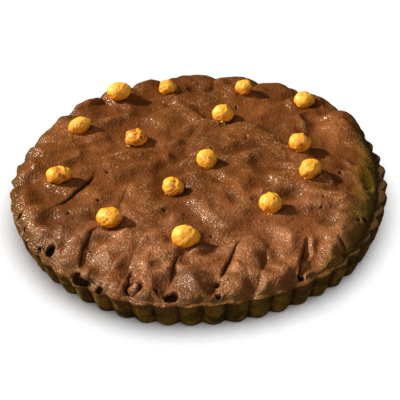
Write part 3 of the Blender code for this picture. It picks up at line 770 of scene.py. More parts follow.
def skin_waves(x, y, inset, outer, form):
    """Waves, pillows and lumps of the skin, as (height of the waves, of the pillows, lumps from -1.3 to 1.3).

    The waves are noise over a plane bent by slower noise, kept within a limit by tanh. A pillow is
    1 - 2|noise|, with its creases where the noise is near nothing. The lumps are two layers of finer noise.
    """
    bent_x = x + WAVE_BEND * soft_noise(x, y, WAVE_BEND_CELLS[0], 1)
    bent_y = y + WAVE_BEND * soft_noise(x, y, WAVE_BEND_CELLS[1], 2)
    swell = form.swell * soft_noise(bent_x, bent_y, SWELL_CELL, 3)
    ripple = form.ripple * soft_noise(bent_x, RIPPLE_SQUEEZE * bent_y, RIPPLE_CELL, 4)
    waves = WAVE_LIMIT * np.tanh((swell + ripple) / WAVE_LIMIT) * np.clip(inset / WAVE_FADE, 0, 1)
    pillows = 1 - 2 * np.abs(soft_noise(bent_x, bent_y, PILLOW_CELL, 13)) - PILLOW_LEVEL
    pillows = form.pillows * (PILLOW_LEAST + (1 - PILLOW_LEAST) * outer) * pillows
    lumps = soft_noise(bent_x, LUMP_SQUEEZE * bent_y, LUMP_CELLS[0], 11)
    lumps = lumps + FINE_LUMPS * soft_noise(x, y, LUMP_CELLS[1], 12)
    return waves, pillows, lumps


def chocolate_top(x, y, form):
    """Height of the chocolate's upper skin, and the masks that its colour follows.

    Rim height and the dome, plus waves, ribbons, folds, pillows, hollows and lumps, each fading out at the
    edge. The very edge is thinned and crumbled, and no hole goes through to the rim.
    """
    radius, angle = np.hypot(x, y), np.arctan2(y, x)
    bare, fore = rim_bareness(angle), fore_share(angle)
    from_foot = foot_radius(angle) - radius
    rise, inset, film = dome(radius, angle, form)
    outer = np.clip((radius - PILLOW_START) / PILLOW_GROWTH, 0, 1) * (1 - 0.7 * bare)
    waves, pillows, lumps = skin_waves(x, y, inset, outer, form)
    folds, grooves, crease_shadow, crease_shadow_off = fold_relief(x, y)
    hollows, holes, dark = (film * part for part in hollow_relief(x, y))
    near_edge = np.clip(inset / RELIEF_FADE, 0, 1)
    level = waves + near_edge * (ribbon_relief(x, y, form.ribbon_crown) + folds + pillows)
    lumps = film * form.lumps * lumps

    settled = np.clip(radius / RIM_RADIUS, 0, 1) ** 6
    base = CASE_HEIGHT + (rim_height(angle) - CASE_HEIGHT) * settled + CONTACT_GAP + FOOT_THICKNESS
    top = np.maximum(base + rise + level + hollows, base - 0.5 * FOOT_THICKNESS)
    top += lumps * (EDGE_LUMPS + (1 - EDGE_LUMPS) * near_edge) - HOLE_SINK * holes
    top -= EDGE_THINNING * FOOT_THICKNESS * (1 - np.clip(from_foot / EDGE_ROUNDING, 0, 1)) ** 2
    top += edge_crumble(x, y) * np.clip(1 - from_foot / CRUMBLE_REACH, 0, 1)
    over_rim = radius > CASE_MOUTH_RADIUS - 1.5 * MM
    top = np.where(over_rim, np.maximum(top, rim_height(angle) + HOLE_FLOOR), top)

    # Pinholes, grooves and holes are painted near black as their shadow
    pins = pinhole_share(x, y)
    pits = np.maximum(grooves / (3 * MM), dark / HOLE_DARK - 0.25)
    # Painted olive shadow near the edge: most on the bare side, less at the front
    thin = np.clip(1.15 - inset / ((OLIVE_SHADOW_REACH + OLIVE_SHADOW_BARE * bare) * MM), 0, 1)
    masks = {
        "crest": np.clip(0.5 + (level + hollows + lumps) / (5 * MM), 0, 1),
        "cavity": np.clip(np.maximum(pins, pits), 0, 1),
        "tone_and_light_patch": tone_and_light_share(x, y),
        "crease_shadow": crease_shadow / MM,
        "crease_shadow_off": crease_shadow_off / MM,
        # Grows towards the front, where the crests are painted pale: bloomed, and partly painted sheen
        "bloom_and_sheen": np.clip(0.5 - y / (130 * MM) + 0.08 * x / RIM_RADIUS, 0, 2),
        "film": np.clip(1 - inset / PALE_FILM, 0, 1) * fore,
        "thin": thin * (0.55 + 0.45 * bare - 0.25 * fore),
    }
    return top - PINHOLE_DEPTH * pins, masks


def nut_places():
    """For each nut: its centre from the frame, its half sizes, and its turn as a matrix."""
    found = []
    for n, (length, width, height, heading, _) in enumerate(NUTS, 1):
        low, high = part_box(f"hazelnut_{n:02d}")
        lean = np.random.default_rng(100 + n).uniform(-NUT_LEAN, NUT_LEAN, 2)
        turn = Euler([math.radians(a) for a in (lean[0], lean[1], heading)]).to_matrix()
        found.append((np.array((low + high) / 2), np.array((length, width, height)) * MM / 2, np.array(turn)))
    return found


def nut_seats(x, y, top):
    """The skin dips to just under each nut: its ellipsoid's lower half, wherever that is below the skin."""
    for centre, half, turn in nut_places():
        u = ((x - centre[0]) * turn[0, 0] + (y - centre[1]) * turn[1, 0]) / half[0]
        v = ((y - centre[1]) * turn[0, 0] - (x - centre[0]) * turn[1, 0]) / half[1]
        inside = u * u + v * v < 1
        under = centre[2] - half[2] * np.sqrt(np.clip(1 - u * u - v * v, 0, 1)) - NUT_SEAT_GAP
        top = np.where(inside, np.minimum(top, under), top)
    return top


def make_mesh(name, points, faces, masks=None, sharp=60):
    """A mesh object at the origin, from an array of vertices, arrays of faces and named values per vertex.

    Each array of faces holds faces of one size: quads or triangles. Edges sharper than the angle stay sharp.
    """
    mesh = bpy.data.meshes.new(name)
    sizes = np.concatenate([np.full(len(group), group.shape[1]) for group in faces])
    corners = np.concatenate([group.ravel() for group in faces])
    mesh.vertices.add(len(points))
    mesh.vertices.foreach_set("co", points.astype(np.float32).ravel())
    mesh.loops.add(len(corners))
    mesh.loops.foreach_set("vertex_index", corners.astype(np.int32))
    mesh.polygons.add(len(sizes))
    mesh.polygons.foreach_set("loop_start", (np.cumsum(sizes) - sizes).astype(np.int32))
    mesh.update(calc_edges=True)
    mesh.validate()
    mesh.shade_smooth()
    mesh.set_sharp_from_angle(angle=math.radians(sharp))
    for mask, values in (masks or {}).items():
        attribute = mesh.attributes.new(mask, "FLOAT", "POINT")
        attribute.data.foreach_set("value", values.astype(np.float32).ravel())
    piece = bpy.data.objects.new(name, mesh)
    bpy.context.scene.collection.objects.link(piece)
    return piece


def ring_faces(rows, columns):
    """Quads between successive rings of the same length, closed round; rows run outwards and up."""
    row, column = np.meshgrid(np.arange(rows - 1), np.arange(columns), indexing="ij")
    after = (column + 1) % columns
    a, b = row * columns + column, row * columns + after
    return np.stack([a, b, b + columns, a + columns], -1).reshape(-1, 4)


def fan_faces(pole, ring, outwards_down):
    """Triangles that close a ring of vertices to its pole."""
    poles, after = np.full_like(ring, pole), np.roll(ring, -1)
    return np.stack((poles, after, ring) if outwards_down else (poles, ring, after), -1)


def dress(piece, material, slot, *nodes):
    """The piece takes its material, rides on the tart's one body and stands for its nodes; the slot is not
    used.
    """
    piece.data.materials.append(material)
    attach(piece, "root")
    if nodes:
        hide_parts(*nodes)
    return piece


def case_surface(form):
    """The pastry case as a profile carried round the axis.

    The profile runs from the middle of the underside out to the foot, up the flared wall, over the worn rim
    and down the plain inner wall to the recess's floor. Each of its rows holds a radius and a height for
    every direction; the fluted rows take the flute wave, and the wall is pushed out and in by noise through
    space. The masks say where a rib's outermost line, the bare rim and the wall's upper part lie.
    """
    columns = 16 * FLUTES
    angle = FLUTE_PHASE + np.arange(columns) * 2 * math.pi / columns
    rim, off = rim_height(angle), out_of_round(angle)
    base, outer = case_radius(angle, BASE_RADIUS), case_radius(angle, RIM_RADIUS)
    mouth, floor = CASE_MOUTH_RADIUS + off, CASE_FLOOR_RADIUS + off
    level = 0 * angle
    rows = [(base * share - FOOT_ROUNDING, level) for share in (0.25, 0.5, 0.75, 0.92)]
    for turn in np.linspace(0, math.pi / 2, 5):
        out, up = 1 - math.sin(turn), 1 - math.cos(turn)
        rows.append((base - FOOT_ROUNDING * out, FOOT_ROUNDING * up + level))
    for share in np.linspace(0.03, 1, 34):
        height = FOOT_ROUNDING + (rim - RIM_ROUNDING - FOOT_ROUNDING) * share
        rows.append((base + (outer - base) * wall_flare(share), height))
    for turn in np.linspace(0.2, math.pi / 2, 5):
        rows.append((outer - RIM_ROUNDING * (1 - math.cos(turn)), rim - RIM_ROUNDING * (1 - math.sin(turn))))
    for share in np.linspace(0.2, 1, 6):
        rows.append((outer - RIM_ROUNDING + (mouth - outer + RIM_ROUNDING) * share, rim))
    rows.append(((mouth + floor) / 2, (rim + CASE_FLOOR) / 2))
    rows += [(floor * share, CASE_FLOOR + level) for share in (1, 0.66, 0.33)]
    radius, height = (np.array([row[part] for row in rows]) for part in (0, 1))

    points = np.stack([radius * np.cos(angle), radius * np.sin(angle), height], -1)
    wall = np.clip(height / (2 * MM), 0, 1) * np.clip((radius - mouth) / (2 * MM), 0, 1)
    grain = sum(share * solid_noise(points, cell, seed) for cell, seed, share in DOUGH_NOISE)
    cell, seed, share = DOUGH_STREAKS
    streak = share * solid_noise(points * np.array((1, 1, 1 / STREAK_LENGTH)), cell, seed)
    radius = radius + form.dough_grain * wall * (grain + streak)
    shown = coat_shown(angle)
    cell, seed, share = DOUGH_CRUST
    crust = grain + share * (1 - shown) * solid_noise(points, cell, seed)
    at_rim = np.clip((height - rim + RIM_ROUNDING) / RIM_ROUNDING, 0, 1)
    lift = CRUST_LIFT * form.dough_grain * wall * at_rim * crust
    points = np.stack([radius * np.cos(angle), radius * np.sin(angle), height + lift], -1)
    masks = {
        "rib": np.clip(flute_wave(angle) * wall, 0, 1),
        "bare": np.clip((height / rim - 0.75) / 0.2, 0, 1) * (1 - shown),
        "upper": np.clip((height / rim - 0.45) / 0.6, 0, 1) * shown,
    }
    return points, masks


def build_case(form, colours):
    """The case's surface, closed by a fan under it and another on the recess's floor."""
    points, masks = case_surface(form)
    rows, columns = points.shape[:2]
    first, last = np.arange(columns), (rows - 1) * columns + np.arange(columns)
    under, inner = fan_faces(rows * columns, first, True), fan_faces(rows * columns + 1, last, False)
    points = np.concatenate([points.reshape(-1, 3), ((0, 0, 0), (0, 0, CASE_FLOOR))])
    masks = {name: np.append(value.ravel(), (0, 0)) for name, value in masks.items()}
    faces = [ring_faces(rows, columns), np.concatenate([under, inner])]
    case = make_mesh("fluted_case", points, faces, masks)
    return dress(case, pastry_material(colours), "cocoa_pastry", "pastry_case")


def disc_grid(cells):
    """A square grid pulled into a disc, as (share of the radius, direction) for every grid point.

    Point (a, b) of the square, each from -1 to 1, goes to ring max(|a|, |b|) and shares that ring's side out
    evenly in angle; the rings are then tightened towards the edge by 1 - (1 - ring) ** SKIN_TIGHTEN.
    """
    side = np.linspace(-1, 1, cells + 1)
    a, b = np.meshgrid(side, side, indexing="ij")
    ring = np.maximum(np.abs(a), np.abs(b))
    on_x = math.pi / 4 * b / np.where(a == 0, 1, a) + math.pi * (a < 0)
    on_y = math.pi / 2 - math.pi / 4 * a / np.where(b == 0, 1, b) + math.pi * (b < 0)
    angle = np.where(np.abs(a) >= np.abs(b), on_x, on_y)
    return 1 - (1 - ring) ** SKIN_TIGHTEN, angle


def draw_in(x, y, share):
    """Grid points near a pinhole move in on it by PINHOLE_PULL * exp(-(distance / reach) ** 2) of the way.

    Points in the outermost rings stay where they are.
    """
    drawn_x, drawn_y = x, y
    for px, py, _ in PINHOLES:
        dx, dy = px * MM - drawn_x, py * MM - drawn_y
        pull = PINHOLE_PULL * np.exp(-((dx * dx + dy * dy) / PINHOLE_REACH**2))
        drawn_x, drawn_y = drawn_x + pull * dx, drawn_y + pull * dy
    kept = share > SKIN_KEPT
    return np.where(kept, x, drawn_x), np.where(kept, y, drawn_y)


def perimeter(cells):
    """Indices of the square grid's outer points, in order of direction."""
    n = cells + 1
    low, high = np.arange(cells), np.arange(cells, 0, -1)
    return np.concatenate([cells * n + low, high * n + cells, high, low * n])


def chocolate_skin(form):
    """The chocolate's upper skin on a disc grid, as (points, quads, masks, direction of each point)."""
    share, angle = disc_grid(SKIN_CELLS)
    x = share * foot_radius(angle) * np.cos(angle)
    y = share * foot_radius(angle) * np.sin(angle) - SKIN_FORWARD * (1 - share)
    x, y = draw_in(x, y, share)
    z, masks = chocolate_top(x, y, form)
    points = np.stack([x, y, nut_seats(x, y, z)], -1).reshape(-1, 3)
    n = SKIN_CELLS + 1
    row, column = np.meshgrid(np.arange(SKIN_CELLS), np.arange(SKIN_CELLS), indexing="ij")
    corner = row * n + column
    quads = np.stack([corner, corner + n, corner + n + 1, corner + 1], -1).reshape(-1, 4)
    return points, quads, masks, angle


def coat_thickness(around):
    """The coat that hangs down the wall: thicker on its lowest stretch, by noise, and round each cave."""
    outer = np.maximum(case_radius(around, RIM_RADIUS), foot_radius(around))
    noise = soft_noise(outer * np.cos(around), outer * np.sin(around), DRAPE_ROLL_CELL, 20)
    lowest = bump_round(around, DRAPE_DIRECTION, DRAPE_SPREAD)
    coat = DRAPE_COAT + DRAPE_ROLL * lowest * (0.5 + 0.5 * noise)
    for at, _, half_width, _ in CAVES:
        near = bump_round(around, math.radians(at), 1.4 * half_width * MM / RIM_RADIUS)
        coat = np.maximum(coat, CAVE_COAT * near)
    return coat


def edge_rings(around):
    """Rings of radius and height from the chocolate's edge downwards, as (those on the coat, those inside).

    The coat's rings lie over the rim and run down the wall's outer face to the drape's lower edge, the coat's
    thickness times sqrt(1 - way ** 4) outside it, and fill the valleys between flutes less and less. Where
    the coat isn't shown they shrink to the chocolate's edge, and they take on its crumbled shape. The rings
    inside run in over the rim and down the recess to its floor.
    """
    foot, rim, off = foot_radius(around), rim_height(around) + 0.5 * CONTACT_GAP, out_of_round(around)
    outer = np.maximum(case_radius(around, RIM_RADIUS), foot)
    pooled = 0.5 * FLUTE_DEPTH * (1 - flute_wave(around))
    drape, shown, coat = drape_depth(around), coat_shown(around), coat_thickness(around)
    draped = [
        (outer + pooled - 0.9 * MM, rim + 0.4 * MM),
        (outer + pooled - 0.2 * MM, rim + 0.2 * MM),
    ]
    for way in DRAPE_ROWS:
        face = wall_radius(around, (rim - drape * way) / rim) + pooled * (1 - way)
        out = (coat + COAT_SINK) * math.sqrt(1 - way**4) - COAT_SINK
        draped.append((face + out, rim - drape * way))
    draped.append((outer - 1.6 * MM, rim - 0.8 * MM))
    seat = rim + 0.15 * FOOT_THICKNESS
    crumble = edge_crumble(foot * np.cos(around), foot * np.sin(around))
    crumbling = np.append(np.linspace(1, 0.2, len(draped) - 1), 0)
    rings = []
    for (radius, height), share in zip(draped, crumbling):
        radius = np.maximum(foot + (radius - foot) * shown, foot - 0.4 * MM) + share * crumble
        rings.append((radius, seat + (height - seat) * shown + share * crumble))
    inside = [
        (foot - 0.6 * MM, rim),
        (CASE_MOUTH_RADIUS + off - CONTACT_GAP, rim),
        (CASE_FLOOR_RADIUS + off - CONTACT_GAP, CASE_FLOOR + CONTACT_GAP + 0 * around),
    ]
    return rings, inside


def build_chocolate(form, colours):
    """The skin, then rings down its edge, in under the rim and down the recess to a closed floor.

    Caves are pressed straight in and their lips drawn straight out, square to the tart's axis.
    """
    skin, quads, masks, angle = chocolate_skin(form)
    edge = perimeter(SKIN_CELLS)
    around = angle.ravel()[edge]
    rings, inside = edge_rings(around)
    below = np.stack([np.stack([r * np.cos(around), r * np.sin(around), h], -1) for r, h in rings + inside])
    start, added = len(skin), below.shape[0] * len(edge)
    order = np.concatenate([edge[None], start + np.arange(added).reshape(-1, len(edge))])
    after = np.roll(order, -1, axis=1)
    wall = np.stack([order[1:], after[1:], after[:-1], order[:-1]], -1).reshape(-1, 4)
    floor = fan_faces(start + added, order[-1], True)
    points = np.concatenate([skin, below.reshape(-1, 3), [(0, 0, CASE_FLOOR + CONTACT_GAP)]])
    caves, lips = cave_share(points)
    inwards = -points * (1, 1, 0) / np.maximum(np.hypot(points[:, :1], points[:, 1:2]), MM)
    points = points + inwards * (CAVE_DEPTH * caves - CAVE_LIP * lips)[:, None]

    below_masks = {name: np.full(added + 1, value) for name, value in MASKS_BELOW.items()}
    # The coat at the front is painted pale like the film, partly a painted highlight
    pale = np.zeros((len(below), len(edge)))
    pale[:len(rings)] = 0.6 * coat_shown(around) * fore_share(around)
    below_masks["film"] = np.append(pale.ravel(), 0)
    below_masks["thin"] = np.append(np.tile(masks["thin"].ravel()[edge], len(below)), 0)
    masks = {name: np.append(value.ravel(), below_masks[name]) for name, value in masks.items()}
    # Caves are painted near black as their shadow
    masks["cavity"] = np.maximum(masks["cavity"], 1.3 * caves - 0.15)
    faces = [np.concatenate([quads, wall]), floor]
    filling = make_mesh("poured_chocolate", points, faces, masks, 80)
    return dress(filling, chocolate_material(colours), "chocolate", "chocolate_filling")


def nut_surface(half, seed, knobs):
    """A hazelnut on its side, over its turn and its lean from pole to pole.

    With s = -cos(lean) along it, the girth is sin(lean) ** 0.9 * (1 - 0.10 s - 0.06 s squared). Two slow
    waves make it uneven, and it is pushed out by rounded knobs and lumps, 1 - 2.2|noise|, over a finer
    grain. The depth is how far out each point is pushed.
    """
    uneven = np.random.default_rng(seed).uniform(-1, 1, 4)
    turn = np.arange(NUT_TURNS) * 2 * math.pi / NUT_TURNS
    lean = (math.pi * np.arange(1, NUT_ROWS) / NUT_ROWS)[:, None]
    along = -np.cos(lean)
    girth = np.sin(lean) ** 0.9 * (1 - 0.10 * along - 0.06 * along**2)
    waves = 1 + 0.035 * uneven[0] * np.sin(2 * turn + uneven[1]) + 0.03 * uneven[2] * np.sin(3 * turn)
    x = half[0] * (along + 0.05 * uneven[3] * (1 - along**2)) + 0 * turn
    points = np.stack([x, half[1] * girth * waves * np.cos(turn), half[2] * girth * waves * np.sin(turn)], -1)
    points = np.concatenate([points.reshape(-1, 3), [(share * half[0], 0, 0) for share in NUT_ENDS]])
    relief = sum(
        share * (1 - NUT_CREASES * np.abs(solid_noise(points, cell, first + seed)) - level)
        for cell, first, share, level in NUT_RELIEF)
    cell, first, share = NUT_GRAIN
    depth = knobs * (relief + share * solid_noise(points, cell, first + seed))
    out = points / np.linalg.norm(points, axis=1)[:, None]
    return points + out * depth[:, None], depth


def build_nut(n, place, roast, form, material):
    """One nut, turned and set in its place; a darker roast has higher knobs.

    Its masks say how deep each point lies between the knobs, how dark the roast is and how low the point is.
    """
    centre, half, turn = place
    points, depth = nut_surface(half, n, form.nut_knobs * (0.55 + 0.9 * roast))
    points = points @ turn.T
    masks = {
        "dent": np.clip(0.5 - depth / (2 * form.nut_knobs), 0, 1),
        "roast": np.full(len(points), roast),
        "low": 0.5 - points[:, 2] / (2 * half[2]),
    }
    rows = NUT_ROWS - 1
    last = (rows - 1) * NUT_TURNS + np.arange(NUT_TURNS)
    ends = np.concatenate([
        fan_faces(rows * NUT_TURNS, np.arange(NUT_TURNS), False),
        fan_faces(rows * NUT_TURNS + 1, last, True),
    ])
    quads = ring_faces(rows, NUT_TURNS)[:, ::-1]
    nut = make_mesh(f"roasted_nut_{n:02d}", points + centre, [quads, ends], masks, 80)
    return dress(nut, material, "roasted_hazelnut", f"hazelnut_{n:02d}")


def build_crumbs(form, material):
    """Bits of nut skin: each a squashed ball pushed in and out by noise, resting on the chocolate."""
    turns, rows = 12, 7
    turn = np.arange(turns) * 2 * math.pi / turns
    lean = (math.pi * np.arange(1, rows) / rows)[:, None]
    ball = np.stack([np.sin(lean) * np.cos(turn), np.sin(lean) * np.sin(turn), -np.cos(lean) + 0 * turn], -1)
    ball = np.concatenate([ball.reshape(-1, 3), ((0, 0, -1), (0, 0, 1))])
    quads = ring_faces(rows - 1, turns)
    last = (rows - 2) * turns + np.arange(turns)
    ends = np.concatenate([
        fan_faces((rows - 1) * turns, np.arange(turns), True),
        fan_faces((rows - 1) * turns + 1, last, False),
    ])
    centres = np.array([crumb[:2] for crumb in CRUMBS]) * MM
    heights, _ = chocolate_top(centres[:, 0], centres[:, 1], form)
    cell, first, dent = CRUMB_DENTS
    points, all_quads, all_ends = [], [], []
    for n, ((_, _, size), centre, height) in enumerate(zip(CRUMBS, centres, heights)):
        lump = ball * (1 + dent * solid_noise(ball, cell, first + n))[:, None]
        lump = lump * np.array(CRUMB_SHAPE) * size * MM
        turned = lump @ np.array(Euler((0, 0, CRUMB_TURN * n)).to_matrix()).T
        points.append(turned + np.array((*centre, height + CRUMB_RISE * size * MM)))
        all_quads.append(quads + n * len(ball))
        all_ends.append(ends + n * len(ball))
    points = np.concatenate(points)
    masks = {name: np.full(len(points), value) for name, value in CRUMB_MASKS.items()}
    faces = [np.concatenate(all_quads), np.concatenate(all_ends)]
    crumbs = make_mesh("nut_crumbs", points, faces, masks, 80)
    return dress(crumbs, material, "roasted_hazelnut")


class NodeTree:
    """A short way to write a material's nodes."""

    def __init__(self, name):
        self.material = bpy.data.materials.new(name)
        self.material.use_nodes = True
        self.nodes = self.material.node_tree.nodes
        self.links = self.material.node_tree.links
        self.shader = self.nodes["Principled BSDF"]
        self.place = self.nodes.new("ShaderNodeTexCoord").outputs["Object"]

    def plug(self, value, socket):
        """A socket takes a link, a colour or a plain number."""
        if isinstance(value, bpy.types.NodeSocket):
            self.links.new(value, socket)
        elif hasattr(value, "__len__") and len(value) == 3 and len(socket.default_value) == 4:
            socket.default_value = (*value, 1)
        else:
            socket.default_value = value

    def finish(self, **values):
        """The shader's sockets take values, each named with _ for a space."""
        for name, value in values.items():
            self.plug(value, self.shader.inputs[name.replace("_", " ")])
        return self.material

    def noise(self, size, detail=3.0, roughness=0.5, warp=0.0):
        """Noise whose spots are about size metres across."""
        node = self.nodes.new("ShaderNodeTexNoise")
        self.links.new(self.place, node.inputs["Vector"])
        node.inputs["Scale"].default_value = 1 / size
        node.inputs["Detail"].default_value = detail
        node.inputs["Roughness"].default_value = roughness
        node.inputs["Distortion"].default_value = warp
        return node.outputs["Fac"]

    def cells(self, size):
        """Distance to the middle of the nearest cell, with cells about size metres across."""
        node = self.nodes.new("ShaderNodeTexVoronoi")
        self.links.new(self.place, node.inputs["Vector"])
        node.inputs["Scale"].default_value = 1 / size
        return node.outputs["Distance"]

    def mask(self, name):
        """A value that the mesh holds for each vertex."""
        node = self.nodes.new("ShaderNodeAttribute")
        node.attribute_name = name
        return node.outputs["Fac"]

    def ramp(self, value, low, high, to_low=0.0, to_high=1.0):
        """The value's range low to high becomes to_low to to_high, and stops there."""
        node = self.nodes.new("ShaderNodeMapRange")
        for socket, number in zip(("From Min", "From Max", "To Min", "To Max"), (low, high, to_low, to_high)):
            node.inputs[socket].default_value = number
        self.plug(value, node.inputs["Value"])
        return node.outputs["Result"]

    def math(self, operation, *values):
        """One of Blender's sums on one or two values."""
        node = self.nodes.new("ShaderNodeMath")
        node.operation = operation
        for value, socket in zip(values, node.inputs):
            self.plug(value, socket)
        return node.outputs["Value"]

    def times(self, first, *others):
        """The product of the values."""
        for other in others:
            first = self.math("MULTIPLY", first, other)
        return first

    def mix(self, share, first, second):
        """A share of the second colour over the first."""
        node = self.nodes.new("ShaderNodeMix")
        node.data_type = "RGBA"
        self.plug(share, node.inputs["Factor"])
        colours = [socket for socket in node.inputs if socket.type == "RGBA"]
        self.plug(first, colours[0])
        self.plug(second, colours[1])
        return next(socket for socket in node.outputs if socket.type == "RGBA")

    def bump(self, height, distance, strength, under=None):
        """The height tilts the surface, on top of the bump under it."""
        node = self.nodes.new("ShaderNodeBump")
        node.inputs["Distance"].default_value = distance
        node.inputs["Strength"].default_value = strength
        self.links.new(height, node.inputs["Height"])
        if under is not None:
            self.links.new(under, node.inputs["Normal"])
        return node.outputs["Normal"]


def chocolate_material(colours):
    """Set chocolate.

    Warm and deep patches, deeper in the hollows partly as painted shade; pale bloomed crests at the front,
    partly painted sheen; pale crystals, partly painted glints; a pale film at the front, partly a painted
    highlight; lighter and deeper patches, partly painted light and shade; a painted olive shadow near the
    edge; painted near-black shadow in holes, caves, grooves and along the creases; and a skin of fine glossy
    beads.
    """
    tree = NodeTree("set_chocolate")
    patches, clouds = tree.noise(34 * MM), tree.noise(9 * MM)
    grain, fine = tree.noise(1.1 * MM, 3, 0.65), tree.noise(0.75 * MM, 2, 0.6)
    cells = tree.cells(1.35 * MM)
    crest, tone_and_light_patch = tree.mask("crest"), tree.mask("tone_and_light_patch")
    front = tree.ramp(tree.mask("bloom_and_sheen"), 0.64, 1.05, 0.0, 0.76)
    # Painted shadow along each fold's crease, drawn as a near-black line
    crease_shadow = tree.math("SUBTRACT", tree.mask("crease_shadow"), tree.math("ABSOLUTE", tree.mask("crease_shadow_off")))
    crease_shadow = tree.ramp(crease_shadow, -0.25, 0.15, 0.0, 0.75)
    # Painted shadow in holes, caves, grooves and pinholes, joined with that along the creases
    cavity = tree.math("MAXIMUM", tree.ramp(tree.mask("cavity"), 0.1, 0.85), crease_shadow)

    tone = tree.math("ADD", patches, tree.times(clouds, 0.5))
    # Hollows painted deeper and crests warmer, partly painted shade
    tone = tree.math("ADD", tone, tree.ramp(crest, 0.2, 0.8, -0.2, 0.2))
    colour = tree.mix(tree.ramp(tone, 0.50, 1.0), colours.chocolate_deep, colours.chocolate_warm)
    colour = tree.mix(tree.times(front, 0.9), colour, colours.chocolate_red)
    # Pale bloomed crests at the front, partly painted sheen
    bloom_and_sheen = tree.times(tree.ramp(crest, 0.25, 0.75), tree.ramp(clouds, 0.35, 0.60, 0.2, 1.0), front)
    colour = tree.mix(bloom_and_sheen, colour, colours.chocolate_bloom_and_sheen)
    pores = tree.times(tree.ramp(fine, 0.36, 0.50, 0.22, 0.0), tree.ramp(front, 0.0, 0.5, 0.3, 1.0))
    colour = tree.mix(pores, colour, GRAIN_SHADE)

    # Pale crystals on the crests and a fine dusting at the front, partly painted glints
    spots, drift = tree.ramp(cells, 0.22, 0.38, 1.0, 0.0), tree.ramp(tree.noise(6.5 * MM, 2), 0.44, 0.58)
    specks = tree.times(spots, tree.times(drift, tree.ramp(crest, 0.32, 0.72, 0.0, 0.50)))
    dust_glints = tree.times(tree.ramp(fine, 0.52, 0.64), tree.ramp(front, 0.0, 1.0, 0.02, 0.12))
    colour = tree.mix(tree.math("MAXIMUM", specks, dust_glints), colour, colours.crystal_and_glint)
    # Pale film at the front, partly a painted highlight
    colour = tree.mix(tree.times(tree.mask("film"), 0.5), colour, FILM_AND_EDGE_HIGHLIGHT)
    # Lighter and deeper patches, partly tone and partly painted light and shade
    colour = tree.mix(tree.ramp(tone_and_light_patch, -1.0, 0.0, 0.8, 0.0), colour, TONE_AND_LIGHT_SHADES[0])
    colour = tree.mix(tree.ramp(tone_and_light_patch, 0.0, 1.0, 0.0, 0.8), colour, TONE_AND_LIGHT_SHADES[1])
    # Painted olive shadow near the edge
    olive = tree.mix(tree.ramp(patches, 0.42, 0.58), *OLIVE_SHADOW_SHADES)
    colour = tree.mix(tree.times(tree.mask("thin"), tree.ramp(clouds, 0.3, 0.7, 0.6, 1.0)), colour, olive)
    # The painted shadow goes on last, near black
    colour = tree.mix(tree.times(cavity, 0.97), colour, PAINTED_HOLE_SHADOW)

    shine = tree.times(tree.ramp(cells, 0.25, 0.50, 1.0, 0.0), tree.ramp(clouds, 0.35, 0.55, 0.45, 1.0))
    between = tree.ramp(front, 0.0, 0.6, 0.08, 0.36)
    on_beads = tree.times(tree.ramp(shine, 0.0, 0.8), tree.ramp(front, 0.0, 0.6, 0.72, 0.58))
    sheen = tree.times(tree.math("MAXIMUM", on_beads, between), tree.math("SUBTRACT", 1.0, cavity))
    beads = tree.ramp(tree.times(cells, cells), 0.0, 0.56, 1.0, 0.0)
    coarse = tree.bump(tree.noise(3.2 * MM), 1.1 * MM, 0.38)
    beaded = tree.bump(beads, 0.26 * MM, 1.0, coarse)
    return tree.finish(
        Base_Color=colour,
        Roughness=tree.ramp(shine, 0.0, 0.6, 0.45, colours.chocolate_roughness),
        Specular_IOR_Level=sheen,
        Specular_Tint=CHOCOLATE_GLOSS_TINT,
        Normal=tree.bump(grain, 0.5 * MM, 0.12, beaded),
    )


def pastry_material(colours):
    """Cocoa pastry: dark olive brown with darker blotches, browner high on the wall, with small pits and a
    dull sheen; lighter on the ribs as painted light, and with painted shadow in the valleys between flutes.
    """
    tree = NodeTree("cocoa_pastry")
    clouds, crumb = tree.noise(7 * MM, 4, 0.6), tree.noise(1.6 * MM, 4, 0.6)
    rib, bare = tree.mask("rib"), tree.times(tree.mask("bare"), 0.95)
    # Lighter on the ribs, partly painted light
    tone = tree.math("ADD", tree.ramp(clouds, 0.35, 0.7, 0.0, 0.65), tree.times(rib, 0.3))
    colour = tree.mix(tone, colours.pastry_dark, colours.pastry_light)
    upper = tree.times(tree.mask("upper"), tree.ramp(clouds, 0.3, 0.6, 0.45, 1.0))
    colour = tree.mix(upper, colour, UPPER_WALL_SHADE)
    scuffs = tree.times(tree.ramp(tree.noise(3.5 * MM), 0.58, 0.72), rib, 0.6)
    colour = tree.mix(scuffs, colour, SCUFF_SHADE)
    # Darker in random blotches
    colour = tree.mix(tree.ramp(tree.noise(15 * MM, 2), 0.46, 0.58, 0.0, 0.65), colour, DARK_BLOTCH_SHADE)
    colour = tree.mix(bare, colour, BARE_RIM_SHADE)
    colour = tree.mix(tree.ramp(crumb, 0.3, 0.6, 0.6, 0.0), colour, CRUMB_PIT_SHADE)
    # Painted shadow in the valleys between flutes, none on the bare rim
    valleys = tree.times(tree.ramp(rib, 0.0, 0.35, 0.6, 0.0), tree.ramp(bare, 0.0, 0.9, 1.0, 0.0))
    colour = tree.mix(valleys, colour, PAINTED_VALLEY_SHADOW)
    coarse = tree.bump(clouds, 1.6 * MM, 0.7)
    return tree.finish(
        Base_Color=colour,
        Roughness=tree.ramp(crumb, 0.3, 0.7, 0.7, 0.9),
        Specular_IOR_Level=0.07,
        Specular_Tint=PASTRY_GLOSS_TINT,
        Normal=tree.bump(crumb, 0.9 * MM, 0.7, coarse),
    )


